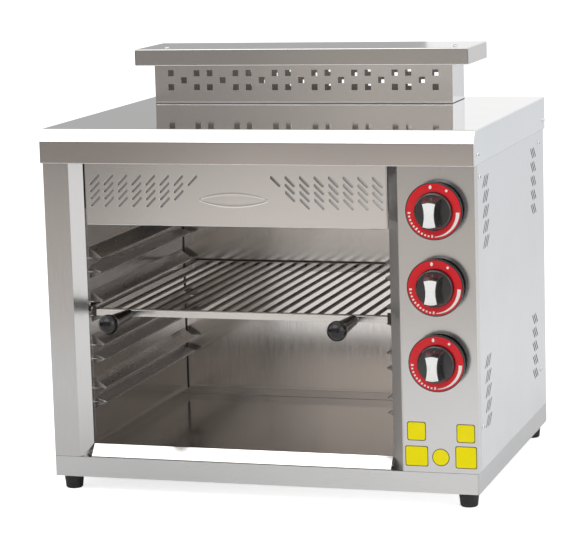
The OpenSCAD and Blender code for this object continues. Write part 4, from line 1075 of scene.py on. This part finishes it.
def knob(level):
    """Hollow skirt and disc in one turned piece, a waisted grip across it, its inlay and the dial ring."""
    body = f"knob_{level}"
    centre = Vector((sum(span(f"{level}_knob", "x")) / 2, SKIRT_REAR, sum(span(f"{level}_knob", "z")) / 2))
    wall, rear = SKIRT_R - SKIRT_WALL, SKIRT_R - SKIRT_TAPER
    bed, hollow = FACE_Z - BED, FACE_Z - SKIRT_FRONT
    skirt = fillet([(SKIRT_BORE, 0), (SKIRT_BORE, hollow), (wall - 1, hollow), (wall - SKIRT_TAPER, 0),
                    (rear, 0), (SKIRT_R, FACE_Z - SKIRT_RIM), (SKIRT_R, bed - BED),
                    (SKIRT_R - RIM_INSET, bed), (DISC_R - 0.5, bed)],
                   [0, 1, 1, 0.6, 0.6, 2, 0.8, 0.5, 0], 4)
    hub = fillet([(DISC_R - 0.5, bed), (DISC_R, FACE_Z), (DISC_R - 0.2, DISC_Z - 1.8),
                  (DISC_R - 2.2, DISC_Z - 0.2), (8, DISC_Z), (0, DISC_Z)], [0, 0, 1.5, 2.2, 0, 0], 4)
    lathe(f"{level}_skirt", skirt + hub[1:], centre, FORWARD, bakelite, body=body,
          replaced=(f"{level}_knob",))
    sections = []
    for k in range(GRIP_LAYERS + 1):
        t = k / GRIP_LAYERS
        flare = (1 - t) ** 2.2
        upper = GRIP_TOP_END + (GRIP_ROOT - GRIP_TOP_END) * (1 - t)
        outline = grip_outline(upper - GRIP_BULGE, GRIP_ROOT - GRIP_BULGE - 0.6 * t, GRIP_ENDS + 4.6 * flare,
                               GRIP_WAIST + 2.4 * flare)
        height = DISC_Z - 0.6 + (FRONT_Z - 0.8 - DISC_Z + 0.6) * t
        sections.append([centre + Vector((p.x, -height, p.y)) for p in outline])
    grip = loft(f"{level}_grip", sections, bakelite, body=body, smooth=50)
    bend_edges(grip, 0.7, angle=50)
    dial_ring(level, centre, body)
    outline = grip_outline(GRIP_TOP_END - 2.3, GRIP_ROOT - 3.6, GRIP_ENDS - 1.1, GRIP_WAIST - 0.9)
    plate(f"{level}_inlay", outline, centre + FORWARD * (FRONT_Z - INLAY_T), FORWARD, INLAY_T, inlay_white,
          edge=0.3, body=body, replaced=(f"{level}_pointer",), smooth=50)


def dial_ring(level, centre, body):
    """Glossy ring, slightly crowned, with plain marks round it."""
    outer, inner, bed = SKIRT_R - RIM_INSET, DISC_R + 0.1, FACE_Z - BED
    profile = [(inner, FACE_Z - DIAL_T), (inner, bed)]
    for t in (k / 8 for k in range(9)):
        profile.append((inner + 0.4 + (outer - inner - 0.8) * t,
                        bed + DIAL_CROWN * math.sin(math.pi * t)))
    profile += [(outer, bed - 0.05), (outer, FACE_Z - DIAL_T)]
    lathe(f"{level}_ring", profile, centre, FORWARD, dial_red, body=body, replaced=(f"{level}_dial",))
    face = centre + FORWARD * (FACE_Z + 0.02)

    def mark(name, outline):
        plate(f"{level}_{name}", outline, face, FORWARD, MARK_T, dial_mark, edge=0.1, body=body)

    def polar(radius, degrees):
        return Vector((radius * math.cos(math.radians(degrees)), radius * math.sin(math.radians(degrees))))

    mark("mark_off", ellipse(3.6, 5.0, 20, polar(31.5, 97)))
    mark("mark_light", ellipse(3.4, 3.4, 20, polar(MARK_R, 57)))
    sections = []
    for t in (k / 24 for k in range(25)):
        angle, half = (a + (b - a) * t for a, b in (FLAME_TURN, FLAME_HALF))
        middle = MARK_R + FLAME_DRIFT * t
        outside, inside = polar(middle + half, angle), polar(middle - half, angle)
        sections.append([face + Vector((p.x, -lift, p.y)) for p, lift in
                         ((outside, 0), (outside, 0.28), (inside, 0.28), (inside, 0))])
    loft(f"{level}_mark_flame", sections, dial_mark, body=body)
    for k in range(TICKS):
        middle = TICK_START + k * TICK_STEP
        start, end = middle - TICK_HALF, middle + TICK_HALF
        foot = TICK_R - (SHORT_TICK if k % 5 else LONG_TICK)
        mark(f"mark_tick_{k}", [polar(r, angle) for angle, r in oblong(start, end, TICK_R, foot)])


for level in LEVELS:
    knob(level)

# ---- grid handles ---------------------------------------------------------

BALL_R = (high("grid_handles", "z") - low("grid_handles", "z")) / 2
HANDLE_DROP = 1.4
# Places of the handles' axes, to the right of the CAD's
HANDLE_SHIFT = (2.5, -4.0)
COLLAR_R, NECK_START = 7.2, 1.5
BAR_END = (4.4, 14.8)


def handle(name, x, replaced=()):
    """A turned handle: a slim neck that swells to a ball end."""
    tip, root = span("grid_handles", "y")
    length = root - tip
    neck_end = length - 1.56 * BALL_R
    profile = [(0, 0), (6.4, 0), (COLLAR_R, 0.8)]
    for t in (k / 12 for k in range(13)):
        profile.append((COLLAR_R + (0.80 * BALL_R - COLLAR_R) * t ** 1.1,
                        NECK_START + (neck_end - NECK_START) * t))
    for k in range(1, 19):
        angle = math.radians(-34 + 124 * k / 18)
        profile.append((max(0.0, BALL_R * math.cos(angle)), length - BALL_R + BALL_R * math.sin(angle)))
    lathe(name, profile, (x, root, sum(span("grid_handles", "z")) / 2 - HANDLE_DROP), FORWARD, handle_black,
          steps=64, body="grid", replaced=replaced, smooth=60)


def bar_ends():
    """Dark folded ends at both sides of the grid's front bar."""
    x0, x1 = span("grid_frame", "x")
    y, z0 = low("grid_frame", "y"), low("grid_frame", "z") - 0.5
    for name, x in (("left_bar_end", x0 - 4.6), ("right_bar_end", x1 - 1.2)):
        plate(name, oblong(x, x + BAR_END[0], z0, z0 + BAR_END[1]), (0, y - 0.2, 0), FORWARD, 1.2, dark_end,
              edge=0.3, body="grid")


bar_ends()
handle("left_handle", low("grid_handles", "x") + BALL_R + HANDLE_SHIFT[0], replaced=("grid_handles",))
handle("right_handle", high("grid_handles", "x") - BALL_R + HANDLE_SHIFT[1])

# ---- blank badge and plain signs ------------------------------------------

BADGE = (96, 21.5)
BADGE_DROP = 49.7
# The oval's arcs would meet this far past its ends, which are rounded to this much over its height
LENS_REACH, LENS_END = 6.0, 4.0
# Inset and height of the rings over the badge's raised rim
BADGE_RINGS = ((0.0, -0.1), (0.5, 0.05), (1.3, 0.2), (2.2, 0.27), (3.0, 0.22), (3.9, 0.13), (5.0, 0.1),
               (6.5, 0.11))
SIGN_EDGE, SIGN_T = 1.1, (0.12, 0.06)
# Middle, width, height and corner radius of each sign
SIGNS = {
    "sign_upper_left": (215.2, 103.0, 25.5, 25.5, 3.0),
    "sign_upper_right": (281.6, 102.0, 25.0, 25.0, 3.0),
    "sign_lower_left": (214.9, 69.5, 31.0, 27.5, 2.5),
    "sign_disc": (247.5, 68.8, 23.5, 23.5, 20.0),
    "sign_lower_right": (281.6, 69.8, 29.0, 30.0, 2.5),
}


def lens(width, height, steps=20):
    """An oval of two long arcs that meet in small rounded ends."""
    tip = width / 2 + LENS_REACH
    radius = (tip ** 2 + (height / 2) ** 2) / height
    end_r = (height + LENS_END) / 2
    half = width / 2 - end_r
    upper = []
    for k in range(-steps, steps + 1):
        x = width / 2 * math.sin(math.pi / 2 * k / steps)
        arc = math.sqrt(radius ** 2 - x ** 2) - radius + height / 2
        over = max(0.0, abs(x) - half)
        cap = math.sqrt(max(0.0, end_r ** 2 - over ** 2)) if over else end_r
        upper.append(Vector((x, min(arc, cap))))
    return upper + [Vector((p.x, -p.y)) for p in reversed(upper[1:-1])]


def blank_badge():
    """A bare oval with a softly raised rim, pressed out of the louvred panel."""
    x = sum(span("upper_panel", "x")) / 2
    y = low("upper_panel", "y") + PANEL_SET
    z = low("top_cover", "z") - BADGE_DROP
    half_w, half_h = BADGE[0] / 2, BADGE[1] / 2
    sections = [[Vector((x + p.x * (1 - inset / half_w), y - height, z + p.y * (1 - inset / half_h)))
                 for p in lens(*BADGE)] for inset, height in BADGE_RINGS]
    loft("blank_badge", sections, satin_across, smooth=80)


def sign(name, x, z, width, height, corner):
    """A plain yellow sticker with a thin dark edge and nothing on it."""
    y = low("control_panel", "y")
    w, h = width / 2, height / 2
    if corner >= min(w, h):
        outline = ellipse(width, height, 40)
    else:
        outline = fillet(oblong(-w, w, -h, h), corner, 5, closed=True)
    inside = [Vector((p.x * (w - SIGN_EDGE) / w, p.y * (h - SIGN_EDGE) / h)) for p in outline]
    plate(f"{name}_edge", outline, (x, y, z), FORWARD, SIGN_T[0], sign_edge)
    plate(name, inside, (x, y - SIGN_T[0], z), FORWARD, SIGN_T[1], sign_yellow)


blank_badge()
for name, sizes in SIGNS.items():
    sign(name, *sizes)

# ---- studio ---------------------------------------------------------------

AMBIENT = 0.55
# Light that the floor adds to the camera's view of it, and to reflections of its right half
CAMERA_LIFT = 0.72
MIRROR_LIFT = 0.22
FLOOR_REACH = 30.0
WARMTH = (1.07, 0.99, 0.925)
NEUTRAL = (1.0, 1.0, 1.0)


def studio_world():
    """White to the camera, to metal and through glass; a plain soft light to everything else."""
    world = bpy.data.worlds.new("studio")
    bpy.context.scene.world = world
    tree = empty_tree(world)
    soft, white = (wire(tree, "Background", {"Color": WHITE, "Strength": strength}).outputs[0]
                   for strength in (AMBIENT, 1.0))
    path = wire(tree, "LightPath").outputs
    seen = reckon(tree, "MAXIMUM", path["Is Camera Ray"], path["Is Glossy Ray"])
    seen = reckon(tree, "MAXIMUM", seen, path["Is Transmission Ray"])
    mix = wire(tree, "MixShader", {"Fac": seen, 1: soft, 2: white})
    wire(tree, "OutputWorld", {"Surface": mix.outputs[0]})


def quad(name, corners, material):
    mesh = bpy.data.meshes.new(name)
    mesh.from_pydata([Vector(c) for c in corners], [], [tuple(range(len(corners)))])
    made = bpy.data.objects.new(name, mesh)
    made.data.materials.append(material)
    bpy.context.scene.collection.objects.link(made)
    return made


def studio_floor():
    """A pale matt floor, lighter to the camera and, at the right, to reflections."""
    paint = Paint("studio_floor", (0.97, 0.97, 0.97), roughness=0.8, Specular_IOR_Level=0.0)
    paint.tint(paint.patches(0.4, 0.3, 0.7), (0.98, 0.98, 0.98))
    tree = paint.tree
    path = wire(tree, "LightPath").outputs
    mirrored = reckon(tree, "MAXIMUM", path["Is Glossy Ray"], path["Is Transmission Ray"])
    mirrored = reckon(tree, "MULTIPLY", mirrored, paint.along("x", -0.25, 0.15, 0.0, MIRROR_LIFT))
    lift = reckon(tree, "MULTIPLY_ADD", path["Is Camera Ray"], CAMERA_LIFT, mirrored)
    paint.set({"Emission Color": WHITE, "Emission Strength": lift})
    r = FLOOR_REACH
    quad("floor", [(*corner, 0) for corner in oblong(-r, r, -r, r)], paint.material)


def grey_card(name, start, end, heights, left, right=None, reach=(0.0, 1.0), tone=WARMTH):
    """A grey card round the object that only reflections see, on a line between two places on the floor.
    left and right hold (height, grey) pairs in metres, for its two sides, and the greys blend along x
    within reach."""
    material = bpy.data.materials.new(name)
    tree = empty_tree(material)
    split = wire(tree, "SeparateXYZ", {0: row_point(tree)}).outputs
    sides = []
    for stops in (left, right or left):
        ramp = wire(tree, "ValToRGB", {"Fac": split[2]})
        elements = ramp.color_ramp.elements
        while len(elements) < len(stops):
            elements.new(0.5)
        for element, (height, grey) in zip(elements, stops):
            element.position = height
            element.color = (*(grey * part for part in tone), 1.0)
        sides.append(ramp.outputs["Color"])
    colour = blend(tree, ranged(tree, split[0], *reach), *sides)
    glow = wire(tree, "Emission", {"Color": colour})
    wire(tree, "OutputMaterial", {"Surface": glow.outputs[0]})
    z0, z1 = heights
    made = quad(name, [(*start, z0), (*end, z0), (*end, z1), (*start, z1)], material)
    made.visible_camera = False
    made.visible_diffuse = False
    made.visible_shadow = False
    made.visible_transmission = False


def softbox(name, spot, size, radiance):
    """An area lamp of that size and brightness, turned to the object's middle."""
    data = bpy.data.lights.new(name, "AREA")
    data.shape = "RECTANGLE"
    data.size, data.size_y = size
    data.energy = radiance * math.pi * size[0] * size[1]
    lamp = bpy.data.objects.new(name, data)
    bpy.context.scene.collection.objects.link(lamp)
    lamp.location = spot
    lamp.rotation_euler = (Vector((0.0, 0.0, 0.3)) - Vector(spot)).to_track_quat("-Z", "Y").to_euler()


def studio():
    studio_world()
    studio_floor()
    softbox("overhead_box", (-0.5, -1.6, 2.6), (2.4, 1.8), 2.0)
    softbox("right_box", (3.0, -0.9, 1.6), (1.8, 2.0), 1.2)
    softbox("left_box", (-3.2, -0.8, 1.8), (1.6, 1.8), 0.6)
    grey_card("right_card", (0.18, -1.3), (0.9, -1.3), (0.002, 1.2), ((0.0, 0.26), (1.0, 0.26)))
    grey_card("front_card", (-4.0, -1.3), (0.18, -1.3), (0.002, 1.2),
              ((0.0, 0.58), (0.08, 0.57), (0.143, 0.53), (0.21, 0.5), (0.25, 0.45), (0.295, 0.32),
               (0.37, 0.3)),
              ((0.0, 0.69), (0.22, 0.69), (0.28, 0.62), (0.37, 0.41), (0.6, 0.4)), (-0.62, -0.35))
    grey_card("back_card", (-4.0, 1.5), (-0.185, 1.5), (0.5, 3.0), ((0.0, 0.47), (1.0, 0.47)), tone=NEUTRAL)
    grey_card("left_flag", (-1.2, -0.9), (-1.2, -0.1), (0.02, 0.6),
              ((0.02, 0.8), (0.1, 0.6), (0.14, 0.1), (0.18, 0.04)))


studio()
bpy.context.scene.view_settings.view_transform = "Standard"
